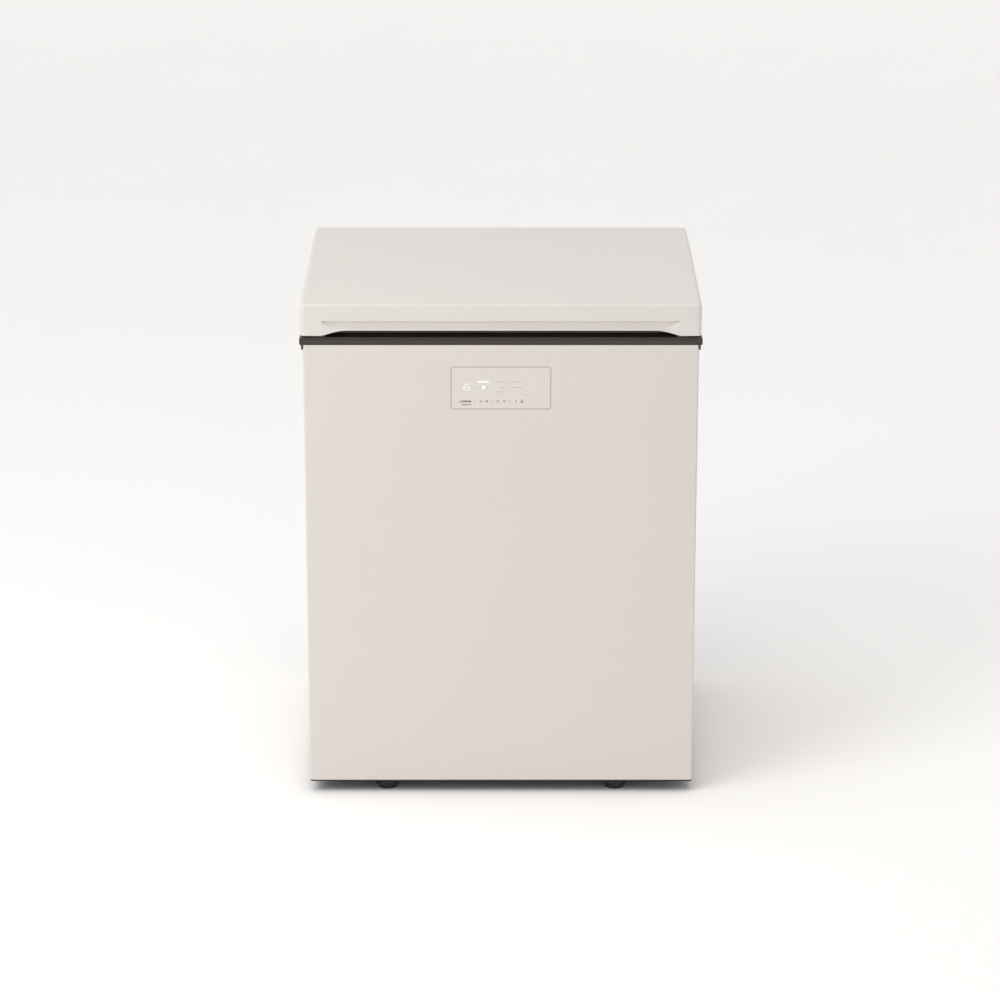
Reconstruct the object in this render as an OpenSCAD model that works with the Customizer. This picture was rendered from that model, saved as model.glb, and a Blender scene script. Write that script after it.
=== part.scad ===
// Chest-type kimchi refrigerator with one top lid. All sizes are in millimetres.
// X runs to the right, Y to the back and Z up. The origin is on the floor, under the
// middle of the overall width and depth. The lid is drawn closed.

/* [Overall] */
// Width over the beads of the top trim
overall_w = 665; // [620:5:760]
// Height from the floor to the flat of the lid
overall_h = 865; // [800:5:960]
// Depth from the lid's front face to the back of the hinge ears
overall_d = 575; // [545:5:680]

/* [Cabinet] */
// How far the trim's side beads stand out past the cabinet
trim_bulge = 5.5; // [4:0.5:9]
// How far the cabinet's front lies behind the lid's front face
front_setback = 2; // [1:0.5:6]
// Height of the painted cabinet's lower edge above the floor
cab_z0 = 22.5; // [20:0.5:28]
// Thickness of the painted steel sheet
sheet_t = 0.8; // [0.6:0.1:1.2]
// Outer bend radius of the cabinet's front corners
wrap_r = 4; // [2.5:0.5:10]
// Width of the flanges folded inward at the cabinet's rear corners
rear_flange = 18; // [12:1:24]
// Height that the ribs stand out of the back panel
rib_h = 2.5; // [1.5:0.5:4]
// Thickness of the base pan
base_t = 1.5; // [1:0.1:2]

/* [Cold compartment] */
// Insulation between the cabinet's sides and the tub
wall_side = 61; // [52:1:75]
// Insulation between the cabinet's front and the tub
wall_front = 62; // [52:1:75]
// Insulation between the cabinet's back and the tub
wall_rear = 60; // [52:1:75]
// Insulation below the tub's floor
wall_floor = 72; // [64:1:90]
// Radius of the tub's upright corners
tub_r = 25; // [20:1:40]
// Radius where the tub's walls meet its floor
tub_floor_r = 14; // [8:1:18]
// How far the tub's deep part is drawn in at its sides and front
tub_shoulder = 2; // [1:0.5:4]
// Wall of the tub
tub_t = 1.2; // [0.8:0.1:2]
// Outward flange round the tub's rim
tub_flange = 12; // [8:1:16]

/* [Top trim] */
// Height of the trim's front face
trim_face_h = 12.5; // [11:0.5:18]
// Wall of the trim moulding
trim_t = 2.5; // [2:0.25:3]
// How far the collar reaches down into the tub's mouth
collar_h = 22; // [18:1:30]
// Height of the gap between the deck and the lid's lower edge
lid_gap = 3.5; // [2.5:0.5:6]
// Length of each rubber bumper on the deck
bumper_l = 20; // [12:1:30]

/* [Lid] */
// Height of the lid from its lower edge to its flat
lid_h = 55; // [50:1:70]
// How far the lid's sides lie inside the trim's beads
lid_inset = 1.75; // [1:0.25:4]
// How far the lid reaches past the back panel
lid_rear_over = 5.5; // [3:0.5:7]
// Wall of the lid's outer shell
shell_t = 2.5; // [2:0.25:3]
// Radius of the lid's front upper edge
edge_front_r = 6.5; // [5:0.5:9]
// Radius of the lid's rear upper edge
edge_rear_r = 5; // [4:0.5:8]
// Depth of the band that slopes to the front, and how far it falls
band_front = 81; // [60:1:100]
band_front_fall = 2; // [1:0.5:4]
// Depth of the band that slopes to the back, and how far it falls
band_rear = 95; // [60:1:110]
band_rear_fall = 3; // [1:0.5:4]
// Wall of the lid's inner panel
liner_t = 1.5; // [1.2:0.1:2.5]
// How far the inner panel's plug reaches below the deck
plug_h = 18; // [12:1:24]
// Clearance round the plug in the tub's mouth
plug_gap = 7; // [6:0.5:12]
// Width of the plug's rim round its two pressed panels
panel_rim = 34; // [24:1:60]
// Width of the magnetic gasket
gasket_w = 14; // [10:1:18]
// Distance from the lid's front face to the gasket
gasket_in = 28; // [26:1:34]

/* [Grip] */
// Length of the scoop in the lid's front face
scoop_w = 590; // [480:5:600]
// Height of the scoop's upper edge above the lid's lower edge
scoop_h = 25.5; // [22:0.5:30]
// Depth of the scoop
scoop_d = 3.5; // [2:0.25:5]
// Height by which the middle of the lid's lower edge is raised for the fingers
lip_rise = 9; // [6:0.5:12]
// Length of the raised middle, and of each slope beside it
lip_w = 508; // [420:2:520]
lip_slope = 38; // [25:1:40]
// Depth of the finger pocket behind the lip, front to back
pocket_d = 18; // [14:0.5:20]
// Height of the finger pocket's ceiling above the lid's lower edge
pocket_h = 27; // [24:0.5:32]
// Wall of the pocket's insert
insert_t = 1.5; // [1:0.1:2]

/* [Touch panel] */
// Width of the window
window_w = 165; // [120:1:220]
// Height of the window
window_h = 72; // [50:1:90]
// Corner radius of the window
window_r = 4; // [2:0.5:8]
// Distance from the cabinet's upper edge down to the window
window_drop = 37.5; // [30:0.5:80]
// Thickness of the window
window_t = 3; // [2:0.5:4]
// Seam round the window
window_gap = 0.5; // [0.3:0.1:0.8]

/* [Machine compartment] */
// Depth of the compartment
machine_d = 182; // [178:1:190]
// Height of its ceiling above the floor
machine_z1 = 240; // [236:1:270]
// Insulation above and in front of it
machine_wall = 50; // [40:1:60]
// Height of the compressor base above the floor
comp_base_z = 34; // [32:1:38]
// Compressor's place to the right of the middle
comp_x = 190; // [180:1:200]
// Radius of the compressor's shell
comp_r = 70; // [60:1:74]
// Height of the compressor's shell
comp_h = 150; // [130:1:160]
// Radius of the fan
fan_r = 56; // [45:1:62]
// Fan's place to the right of the middle
fan_x = 30; // [20:1:50]
// Fins on the condenser
fin_count = 19; // [11:1:23]
// Spacing of the fins
fin_pitch = 6; // [5:0.5:7]

/* [Hinges] */
// Distance of each hinge from the middle
hinge_x = 215; // [180:5:240]
// Distance of the hinge axis behind the back panel
hinge_off = 21; // [21:0.5:24]
// Height of the hinge axis above the deck
hinge_rise = 7.5; // [6:0.5:9]
// Radius of the bracket's ears
ear_r = 9.5; // [9:0.25:10]
// Thickness of the bracket's steel
bracket_t = 2.5; // [2:0.25:3]
// Radius of the hinge pin
pin_r = 3.5; // [3:0.1:4]
// Radius of the arm's knuckle
knuckle_r = 7.2; // [6.5:0.1:7.5]
// Rise of the plunger for each radian that the lid opens
cam_rate = 6; // [5:0.25:6.5]
// How far the lid opens, in degrees
lid_open = 80; // [60:1:85]
// Coils of each hinge spring
spring_coils = 12; // [8:1:14]
// Wire radius of each hinge spring
wire_r = 1.1; // [0.8:0.1:1.3]
// Outer radius of each hinge spring
spring_r = 6.5; // [6:0.1:7.5]
// Length of each hinge spring with the lid closed
spring_l = 84; // [70:1:90]

/* [Feet and rollers] */
// Distance of each front foot from the middle
foot_x = 195; // [160:5:240]
// Distance of the feet behind the cabinet's front
foot_in = 30; // [26:1:60]
// Radius of each foot's knob
foot_r = 19; // [15:0.5:22]
// Radius of each foot's stem
stem_r = 4; // [3:0.5:5]
// Ribs round each foot's knob
foot_ribs = 24; // [16:1:28]
// How far each foot can be screwed out
foot_travel = 12; // [8:1:15]
// Radius of each rear roller
roller_r = 15; // [13:0.5:16]
// Width of each rear roller
roller_w = 22; // [16:1:26]
// Distance of each rear roller from the middle
roller_x = 285; // [270:1:290]

/* [Hidden] */
$fn = 64;

// Clearance of a running fit, of a sliding part, and of a seam between two mouldings
run_gap = 0.05;
slide_gap = 0.4;
seam = 0.3;

// Planes of the cabinet and the lid
front_y = -overall_d / 2;
cab_y0 = front_y + front_setback;
hinge_y = overall_d / 2 - ear_r;
back_y = hinge_y - hinge_off;
lid_y1 = back_y + lid_rear_over;
cab_w = overall_w - 2 * trim_bulge;
lid_w = overall_w - 2 * lid_inset;
lid_z0 = overall_h - lid_h;
deck_z = lid_z0 - lid_gap;
cab_z1 = deck_z - trim_face_h;
base_z0 = cab_z0 - base_t - seam;

// The tub: the step in its floor makes room for the machine compartment
tub_w = cab_w - 2 * wall_side;
tub_y0 = cab_y0 + wall_front;
tub_y1 = back_y - wall_rear;
tub_rim_z = deck_z - collar_h;
tub_floor_z = cab_z0 + wall_floor;
machine_y0 = back_y - machine_d;
machine_y1 = back_y - 2 * sheet_t;
step_y = machine_y0 - machine_wall;
step_z = machine_z1 + machine_wall;
foam_z0 = base_z0 + base_t;

// Colours
paint = [0.87, 0.84, 0.81];
trim_brown = [0.19, 0.16, 0.15];
black = [0.07, 0.07, 0.07];
steel = [0.66, 0.67, 0.68];
zinc = [0.74, 0.75, 0.76];
copper = [0.72, 0.43, 0.28];
aluminium = [0.80, 0.81, 0.82];
foam = [0.90, 0.82, 0.60];
plastic_white = [0.90, 0.90, 0.89];
rubber_grey = [0.42, 0.40, 0.39];
board_green = [0.10, 0.33, 0.20];

// ---- Shapes that repeat ----

// A box between two corners
module block(lo, hi) {
    translate(lo)
        cube(hi - lo);
}

// A rectangle with true round corners, centred
module round_rect(w, d, r) {
    square([w - 2 * r, d], center = true);
    square([w, d - 2 * r], center = true);
    for (x = [-1, 1], y = [-1, 1])
        translate([x * (w / 2 - r), y * (d / 2 - r)])
            circle(r);
}

// A prism of that rectangle between two Y planes and two Z planes
module round_block(w, y0, y1, z0, z1, r) {
    translate([0, (y0 + y1) / 2, z0])
        linear_extrude(z1 - z0)
            round_rect(w, y1 - y0, r);
}

// A profile in (y, z), carried along X between two planes
module along_x(x0, x1) {
    translate([x0, 0, 0])
        rotate([90, 0, 90])
            linear_extrude(x1 - x0)
                children();
}

// A profile in (x, z), carried along Y between two planes
module along_y(y0, y1) {
    translate([0, y1, 0])
        rotate([90, 0, 0])
            linear_extrude(y1 - y0)
                children();
}

// A moulded basin as a solid: upright corners of radius r, and floor edges of radius floor_r.
// Its plan and its two side views have true round corners, and it is what they share.
module basin(w, y0, y1, z0, z1, r, floor_r) {
    intersection() {
        round_block(w, y0, y1, z0, z1, r);
        along_x(-w, w)
            translate([(y0 + y1) / 2, z1])
                round_rect(y1 - y0, 2 * (z1 - z0), floor_r);
        along_y(y0 - 1, y1 + 1)
            translate([0, z1])
                round_rect(w, 2 * (z1 - z0), floor_r);
    }
}

// The same piece on the left and on the right
module both_sides() {
    for (side = [-1, 1])
        mirror([side < 0 ? 1 : 0, 0, 0])
            children();
}

// Points on an arc round c, from angle a0 to a1 in n steps
function arc(c, r, a0, a1, n) =
    [for (i = [0:n]) let (a = a0 + (a1 - a0) * i / n) c + r * [cos(a), sin(a)]];

function unit(v) = v / norm(v);

// A path through corner points, each corner turned into a smooth bend that starts b before it
function bent(p, b, n = 4) = concat([p[0]], [for (i = [1:len(p) - 2]) let (
    from = p[i] + b * unit(p[i - 1] - p[i]), to = p[i] + b * unit(p[i + 1] - p[i]))
    for (k = [0:n]) let (t = k / n) (1 - t) * (1 - t) * from + 2 * t * (1 - t) * p[i] + t * t * to],
    [p[len(p) - 1]]);

// The least gap of a wound wire of radius r to itself, on its path's points, so many a turn
function least_gap(path, r, per_turn) = min([
    for (i = [0:len(path) - per_turn], k = [per_turn - 2:per_turn + 2])
        if (i + k < len(path)) norm(path[i + k] - path[i])]) - 2 * r;

// A round tube of that radius along a path, as one closed skin
module tube(path, r, sides = 8) {
    last = len(path) - 1;
    lean = unit([0.31, 0.52, 0.80]);
    points = [for (i = [0:last]) let (
        along = unit(path[min(i + 1, last)] - path[max(i - 1, 0)]),
        u = unit(cross(along, lean)), v = cross(along, u))
        for (k = [0:sides - 1]) path[i] + r * (cos(360 * k / sides) * u + sin(360 * k / sides) * v)];
    ends = [[for (k = [0:sides - 1]) sides - 1 - k], [for (k = [0:sides - 1]) last * sides + k]];
    skin = [for (i = [0:last - 1], k = [0:sides - 1]) let (
        a = i * sides + k, b = i * sides + (k + 1) % sides)
        each [[a, b, b + sides], [a, b + sides, a + sides]]];
    polyhedron(points = points, faces = concat([for (f = ends) [for (k = [len(f) - 1:-1:0]) f[k]]],
        [for (f = skin) [f[2], f[1], f[0]]]), convexity = 10);
}

// A screw along +Z: a domed head above z = 0 and a shank below it
module screw(head_r, head_h, shank_r, shank_l) {
    cylinder(r = head_r, h = head_h * 0.6);
    translate([0, 0, head_h * 0.6])
        cylinder(r1 = head_r, r2 = head_r * 0.6, h = head_h * 0.4);
    translate([0, 0, -shank_l])
        cylinder(r = shank_r, h = shank_l);
}

// ---- Cabinet ----

window_z = cab_z1 - window_drop - window_h / 2;

// Plan of the cabinet, inset by t: round at the front, square at the back
module cabinet_plan(t) {
    r = max(wrap_r - t, 0.5);
    x = cab_w / 2 - t;
    y = cab_y0 + t;
    polygon(concat(arc([-x + r, y + r], r, 180, 270, 10), arc([x - r, y + r], r, 270, 360, 10),
        [[x, back_y], [-x, back_y]]));
}

// A hole or plug of the window's outline, grown by g, between two Y planes
module window_prism(g, y0, y1) {
    translate([0, 0, window_z])
        along_y(y0, y1)
            round_rect(window_w + 2 * g, window_h + 2 * g, window_r + g);
}

// Section of the folded sheet: outside round the front, then back along the inside
function wrap_section() = let (
    x = cab_w / 2, y = cab_y0, t = sheet_t, r = wrap_r, ri = max(wrap_r - sheet_t, 0.5),
    hem = [[x - t, back_y], [x - t, back_y - t], [x - rear_flange, back_y - t],
        [x - rear_flange, back_y - 2 * t], [x - t, back_y - 2 * t]])
    concat(arc([-x + r, y + r], r, 180, 270, 10), arc([x - r, y + r], r, 270, 360, 10), [[x, back_y]], hem,
        arc([x - t - ri, y + t + ri], ri, 360, 270, 10), arc([-x + t + ri, y + t + ri], ri, 270, 180, 10),
        [for (i = [len(hem) - 1:-1:0]) [-hem[i][0], hem[i][1]]], [[-x, back_y]]);

// One painted sheet folded round the front and both sides, with flanges at the rear corners
module cabinet_wrap() {
    color(paint)
    difference() {
        translate([0, 0, cab_z0])
            linear_extrude(cab_z1 - cab_z0)
                polygon(wrap_section());
        window_prism(window_gap, cab_y0 - 1, cab_y0 + sheet_t + 1);
        both_sides()
            cover_screw_places()
                cylinder(r = cover_screw_r + run_gap, h = 4 * sheet_t, center = true);
    }
}

// Galvanised back sheet with three pressed ribs across it, below the hinge brackets
module back_panel() {
    back_w = cab_w - 2 * sheet_t - slide_gap;
    rib_w = 12;
    rib_end = 50;
    color(zinc)
    difference() {
        union() {
            block([-back_w / 2, back_y - sheet_t, machine_z1 + sheet_t], [back_w / 2, back_y, cab_z1]);
            for (i = [1:3])
                translate([0, back_y, machine_z1 + (bracket_z0 - machine_z1) * i / 4])
                    along_x(-back_w / 2 + rib_end, back_w / 2 - rib_end)
                        polygon([[-sheet_t, -rib_w], [0, -rib_w], [rib_h, -rib_w / 2],
                            [rib_h, rib_w / 2], [0, rib_w], [-sheet_t, rib_w]]);
        }
        bracket_screw_places()
            cylinder(r = bracket_screw_r + run_gap, h = 20, center = true);
    }
}

// Black steel pan under the insulation: its front edge shows as a dark line, and pressed
// ribs stiffen it from front to back
module base_pan() {
    edge_d = 14;
    edge_drop = 0.8;
    pan_rib_h = 2.5;
    pan_rib_w = 16;
    pan_rib_y0 = foot_y + foot_r + pan_rib_w;
    color(black)
    difference() {
        union() {
            block([-cab_w / 2 + sheet_t, cab_y0 + sheet_t, base_z0],
                [cab_w / 2 - sheet_t, machine_y0, foam_z0]);
            block([-cab_w / 2 + wrap_r / 2, cab_y0 + slide_gap / 2, base_z0 - edge_drop],
                [cab_w / 2 - wrap_r / 2, cab_y0 + edge_d, foam_z0]);
            for (i = [-2:2])
                translate([i * cab_w / 6, 0, base_z0])
                    along_y(pan_rib_y0, machine_y0 - pan_rib_w)
                        polygon([[-pan_rib_w / 2, 0.1], [-pan_rib_w / 2, 0], [-pan_rib_w / 4, -pan_rib_h],
                            [pan_rib_w / 4, -pan_rib_h], [pan_rib_w / 2, 0], [pan_rib_w / 2, 0.1]]);
        }
        both_sides()
            translate([foot_x, foot_y, 0])
                cylinder(r = bush_r + run_gap, h = cab_z0 + base_t);
    }
}

// Heavier steel tray that carries the compressor, with cheeks for the roller axles
module compressor_base() {
    cheek_t = 2;
    cheek_r = 7;
    cheek_top_w = 30;
    cheek_h = tray_z - base_t / 2 - roller_r;
    half = cab_w / 2 - sheet_t - 1;
    vent_w = 9;
    vent_l = machine_d / 2;
    color(steel)
    difference() {
        union() {
            block([-half, machine_y0, comp_base_z], [half, machine_y1 - seam, tray_z]);
            block([-half, machine_y0, base_z0], [half, machine_y0 + base_t, tray_z]);
            for (side = [-1, 1], cheek = [-1, 1])
                translate([side * roller_x + cheek * (roller_w / 2 + roller_side_gap + cheek_t / 2), 0, 0])
                    along_x(-cheek_t / 2, cheek_t / 2)
                        translate([roller_y, roller_r]) {
                            circle(cheek_r);
                            polygon([[-cheek_r, 0], [cheek_r, 0], [cheek_top_w / 2, cheek_h],
                                [-cheek_top_w / 2, cheek_h]]);
                        }
        }
        both_sides()
            translate([roller_x, roller_y, roller_r])
                rotate([0, 90, 0])
                    cylinder(r = axle_r, h = 2 * roller_w, center = true);
        compressor_foot_places()
            cylinder(r = grommet_neck_r, h = 3 * base_t, center = true);
        for (i = [-2:2])
            translate([cond_x0 + cond_pitch / 2 + i * 2 * vent_w, comp_y, comp_base_z - 1])
                linear_extrude(base_t + 2)
                    round_rect(vent_w, vent_l, vent_w / 2 - 0.01);
    }
}

// Bent sheet that lines the machine compartment's front wall and ceiling
module machine_bulkhead() {
    half = cab_w / 2 - sheet_t - seam;
    color(zinc)
    difference() {
        union() {
            block([-half, machine_y0, tray_z], [half, machine_y0 + sheet_t, machine_z1 + sheet_t]);
            block([-half, machine_y0, machine_z1], [half, back_y, machine_z1 + sheet_t]);
        }
        both_sides()
            block([cab_w / 2 - rear_flange - seam, machine_y1 - seam, machine_z1 - 1],
                [cab_w, back_y + 1, step_z]);
        for (p = [suction_wall, capillary_wall])
            translate(p)
                rotate([90, 0, 0])
                    cylinder(r = wall_hole_r, h = 6 * sheet_t, center = true);
    }
}

// The tub's shape grown by t, as a solid up to height z1
module tub_solid(t, z1) {
    basin(tub_w + 2 * t, tub_y0 - t, tub_y1 + t, step_z - t, z1, tub_r + t, tub_floor_r + t);
    basin(tub_w - 2 * tub_shoulder + 2 * t, tub_y0 + tub_shoulder - t, step_y + t, tub_floor_z - t, z1,
        tub_r + t, tub_floor_r + t);
}

// Polyurethane foam between the cabinet and the tub
module cabinet_foam() {
    pocket_gap = 2;
    color(foam)
    difference() {
        union() {
            translate([0, 0, foam_z0])
                linear_extrude(cab_z1 - foam_z0)
                    cabinet_plan(sheet_t);
            translate([0, 0, cab_z1 - 1])
                linear_extrude(deck_z - trim_t - cab_z1 + 1)
                    cabinet_plan(trim_t + seam);
        }
        tub_solid(tub_t + run_gap, overall_h);
        // collar and flange at the mouth
        round_block(tub_w + 2 * trim_t, tub_y0 - trim_t, tub_y1 + trim_t,
            tub_rim_z, overall_h, tub_r + trim_t);
        round_block(tub_w + 2 * tub_flange, tub_y0 - tub_flange, tub_y1 + tub_flange,
            tub_rim_z - tub_t, tub_rim_z, tub_r + tub_flange);
        // machine compartment
        block([-cab_w, machine_y0, -1], [cab_w, overall_d, machine_z1 + sheet_t]);
        // rear sheets: flanges and back panel
        block([-cab_w, back_y - 2 * sheet_t, -1], [cab_w, overall_d, overall_h]);
        // evaporator coil
        round_block(tub_w + 2 * coil_room, tub_y0 - coil_room, tub_y1 + coil_room,
            coil_z0 - coil_tube_r - pocket_gap, coil_z1 + coil_tube_r + pocket_gap, tub_r + coil_room);
        // touch panel's housing
        block([-housing_w / 2, cab_y0, window_z - housing_h / 2],
            [housing_w / 2, cab_y0 + housing_d + seam, window_z + housing_h / 2]);
        both_sides() {
            translate([foot_x, foot_y, 0])
                cylinder(r = bush_r + seam, h = bush_z1 + pocket_gap);
            block([hinge_x - anchor_w / 2 - pocket_gap, back_y - bracket_screw_l, anchor_z0 - pocket_gap],
                [hinge_x + anchor_w / 2 + pocket_gap, back_y, anchor_z1 + pocket_gap]);
        }
    }
}

// Deep-drawn aluminium tub with a stepped floor and a flange round its rim
module tub() {
    color(aluminium)
    difference() {
        union() {
            tub_solid(tub_t, tub_rim_z);
            round_block(tub_w + 2 * tub_flange, tub_y0 - tub_flange, tub_y1 + tub_flange,
                tub_rim_z - tub_t, tub_rim_z, tub_r + tub_flange);
        }
        tub_solid(0, overall_h);
    }
}

bead_rise = 1.5;
bead_drop = 8;
bead_upper_r = 5;
bead_lower_r = 2.5;
skirt_t = 2.2;
front_step_h = 3.5;
front_step_d = 1.2;

// Section of the trim's right side bead, with the skirt that laps the side sheet
module bead_section() {
    bead_x = overall_w / 2;
    inner_x = cab_w / 2 + seam;
    skirt_x = inner_x + skirt_t;
    polygon(concat(
        [[cab_w / 2 - trim_t, deck_z], [cab_w / 2 - trim_t, cab_z1 + seam], [inner_x, cab_z1 + seam],
            [inner_x, cab_z1 - bead_drop], [skirt_x, cab_z1 - bead_drop], [skirt_x, cab_z1]],
        arc([bead_x - bead_lower_r, cab_z1 + bead_lower_r], bead_lower_r, -80, 0, 5),
        arc([bead_x - bead_upper_r, deck_z + bead_rise - bead_upper_r], bead_upper_r, 0, 90, 8)));
}

// Dark moulding that caps the cabinet's walls: deck, front face, collar and side beads
module top_trim() {
    step_in = 6;
    color(trim_brown)
    difference() {
        union() {
            difference() {
                translate([0, 0, cab_z1 + seam])
                    linear_extrude(deck_z - cab_z1 - seam)
                        cabinet_plan(0);
                translate([0, 0, cab_z1])
                    linear_extrude(deck_z - trim_t - cab_z1)
                        cabinet_plan(trim_t);
            }
            round_block(tub_w + 2 * trim_t, tub_y0 - trim_t, tub_y1 + trim_t,
                tub_rim_z + seam, deck_z - trim_t / 2, tub_r + trim_t);
            both_sides()
                along_y(cab_y0, back_y)
                    bead_section();
        }
        round_block(tub_w, tub_y0, tub_y1, 0, overall_h, tub_r);
        block([-cab_w / 2 + step_in, cab_y0 - 1, deck_z - front_step_h],
            [cab_w / 2 - step_in, cab_y0 + front_step_d, overall_h]);
    }
}

// Rubber pads on the deck that the lid's inner panel comes down to at its corners
module lid_bumpers() {
    bumper_d = 12;
    side_in = 31;
    color(rubber_grey)
    for (side = [-1, 1], y = [cab_y0 + bumper_d, back_y - 0.75 * bumper_d])
        translate([side * (lid_w / 2 - side_in), y, deck_z])
            linear_extrude(gasket_h - seam)
                round_rect(bumper_l, bumper_d, bumper_d / 4);
}

// ---- Evaporator ----

coil_tube_r = 4;
coil_gap = 0.9;
coil_room = coil_gap + 2 * coil_tube_r + 2.1;
coil_turns = 9;
coil_z0 = step_z + tub_floor_r + 16;
coil_z1 = tub_rim_z - 60;

// A point on the coil's rounded rectangle, at a share s of one turn
function coil_point(s, z) = let (
    off = tub_t + coil_tube_r + coil_gap,
    hw = tub_w / 2 + off, hd = (tub_y1 - tub_y0) / 2 + off, r = tub_r + off,
    corner = floor(s * 4), t = s * 4 - corner, bend = t * 90,
    centre = [[hw - r, hd - r], [r - hw, hd - r], [r - hw, r - hd], [hw - r, r - hd]][corner % 4],
    p = centre + r * [cos(corner * 90 + bend), sin(corner * 90 + bend)])
    [p[0], p[1] + (tub_y0 + tub_y1) / 2, z];

// Tube wound round the tub's upper part: each turn has four bends with straight runs between
module evaporator_coil() {
    per_bend = 5;
    steps = 4 * per_bend;
    path = [for (i = [0:coil_turns * steps - 1]) let (turn = i / steps,
        corner = floor((i % steps) / per_bend), k = i % per_bend,
        s = (corner + min(k / (per_bend - 1), 0.999)) / 4)
        coil_point(s, coil_z0 + (coil_z1 - coil_z0) * turn / coil_turns)];
    color(aluminium)
        tube(path, coil_tube_r, 6);
}

// ---- Touch panel ----

housing_w = window_w + 14;
housing_h = window_h + 14;
housing_d = 20;
board_y = 7;
board_t = 1.6;
board_gap = 2;

// Flush touch window in the front sheet
module display_window() {
    color(paint)
        window_prism(0, cab_y0 + 0.1, cab_y0 + window_t);
}

// Tray behind the window, foamed into the front wall: a ledge carries the window's edge
module display_housing() {
    wall = 2;
    ledge_w = 3;
    post_in = 8;
    ledge_y1 = cab_y0 + window_t + wall;
    y0 = cab_y0 + sheet_t;
    y1 = cab_y0 + housing_d;
    half_w = housing_w / 2 - seam;
    half_h = housing_h / 2 - seam;
    color(plastic_white)
    difference() {
        block([-half_w, y0, window_z - half_h], [half_w, y1, window_z + half_h]);
        window_prism(seam, y0 - 1, cab_y0 + window_t);
        window_prism(-ledge_w, y0 - 1, ledge_y1 + 1);
        block([-half_w + wall, ledge_y1, window_z - half_h + wall],
            [half_w - wall, y1 - wall, window_z + half_h - wall]);
    }
    color(plastic_white)
    for (x = [-1, 1], z = [-1, 1])
        translate([x * (window_w / 2 - post_in), y1 - wall, window_z + z * (window_h / 2 - post_in)])
            rotate([90, 0, 0])
                cylinder(r = 3, h = housing_d - wall - board_y - board_t);
}

// Touch and display board on the housing's four posts, with its row of lamps
module display_board() {
    lamps = 7;
    lamp_w = 8;
    lamp_pitch = window_w / (lamps + 2);
    color(board_green)
        block([board_gap - window_w / 2, cab_y0 + board_y, window_z - window_h / 2 + board_gap],
            [window_w / 2 - board_gap, cab_y0 + board_y + board_t, window_z + window_h / 2 - board_gap]);
    color(plastic_white)
    for (i = [0:lamps - 1])
        translate([(i - (lamps - 1) / 2) * lamp_pitch, 0, window_z])
            block([-lamp_w / 2, cab_y0 + window_t + seam, -lamp_w / 2],
                [lamp_w / 2, cab_y0 + board_y, lamp_w / 2]);
}

// ---- Compressor ----

comp_y = (machine_y0 + back_y) / 2;
tray_z = comp_base_z + base_t;
bolt_r = 3;
grommet_h = 14;
grommet_neck_r = 6;
comp_foot_z = tray_z + grommet_h;
comp_foot_t = 2.5;
comp_z0 = comp_foot_z + comp_foot_t;
comp_foot_dx = 76;
comp_foot_dy = 58;

// The compressor's four feet, at the top of the tray
module compressor_foot_places() {
    for (x = [-1, 1], y = [-1, 1])
        translate([comp_x + x * comp_foot_dx, comp_y + y * comp_foot_dy, tray_z])
            children();
}

// Half section of the hermetic shell, with domed ends and the weld at its middle
module shell_section() {
    dome = 34;
    weld = 5;
    intersection() {
        union() {
            round_rect(2 * comp_r, comp_h, dome);
            square([2 * comp_r + weld, weld], center = true);
        }
        translate([0, -comp_h])
            square([2 * comp_r, 2 * comp_h]);
    }
}

// Two drawn steel cups welded into one closed shell, with its pipe stubs
module compressor_shell() {
    color(black) {
        translate([comp_x, comp_y, comp_z0 + comp_h / 2])
            rotate_extrude()
                shell_section();
        for (stub = [[discharge_port, discharge_r], [suction_port, suction_r]])
            translate(stub[0])
                rotate([0, 90, 0])
                    cylinder(r = stub[1] + stub_wall, h = comp_x - port_x);
    }
}

// Pressed plate with four lugs under the shell
module compressor_feet() {
    lug_r = 13;
    color(black)
    difference() {
        union() {
            translate([comp_x, comp_y, comp_foot_z])
                cylinder(r = comp_r * 0.72, h = comp_foot_t);
            for (s = [-1, 1])
                translate([comp_x, comp_y, comp_foot_z])
                    rotate([0, 0, s * atan2(comp_foot_dy, comp_foot_dx)])
                        linear_extrude(comp_foot_t)
                            round_rect(2 * norm([comp_foot_dx, comp_foot_dy]) + 2 * lug_r, 2 * lug_r,
                                lug_r - 0.01);
        }
        compressor_foot_places()
            cylinder(r = grommet_neck_r, h = 4 * grommet_h, center = true);
    }
}

// Rubber grommets: a body between tray and lug, and a neck through each
module compressor_grommets() {
    color(rubber_grey)
    compressor_foot_places()
        difference() {
            union() {
                cylinder(r = grommet_neck_r + 5, h = grommet_h);
                translate([0, 0, -base_t])
                    cylinder(r = grommet_neck_r - run_gap, h = base_t + grommet_top);
            }
            cylinder(r = bolt_r + run_gap, h = 4 * grommet_h, center = true);
        }
}

grommet_top = grommet_h + comp_foot_t + 1;

// Bolts down through the grommets, with a nut's length below the tray
module compressor_bolts() {
    nut_h = 4;
    color(zinc)
    compressor_foot_places()
        translate([0, 0, grommet_top])
            screw(8, 5, bolt_r, grommet_top + base_t + nut_h);
}

// Box over the electrical terminals, on the side that faces the back
module terminal_cover() {
    cover_h = 48;
    depth = 12;
    z1 = comp_z0 + comp_h - 23;
    color(black)
    difference() {
        translate([comp_x + comp_r / 2, 0, 0])
            round_block(0.72 * comp_r, comp_y, comp_y + comp_r + depth, z1 - cover_h, z1, depth / 3);
        translate([comp_x, comp_y, comp_z0 - 1])
            cylinder(r = comp_r + 3 * seam, h = comp_h + 2);
    }
}

// ---- Refrigerant circuit ----

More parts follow.
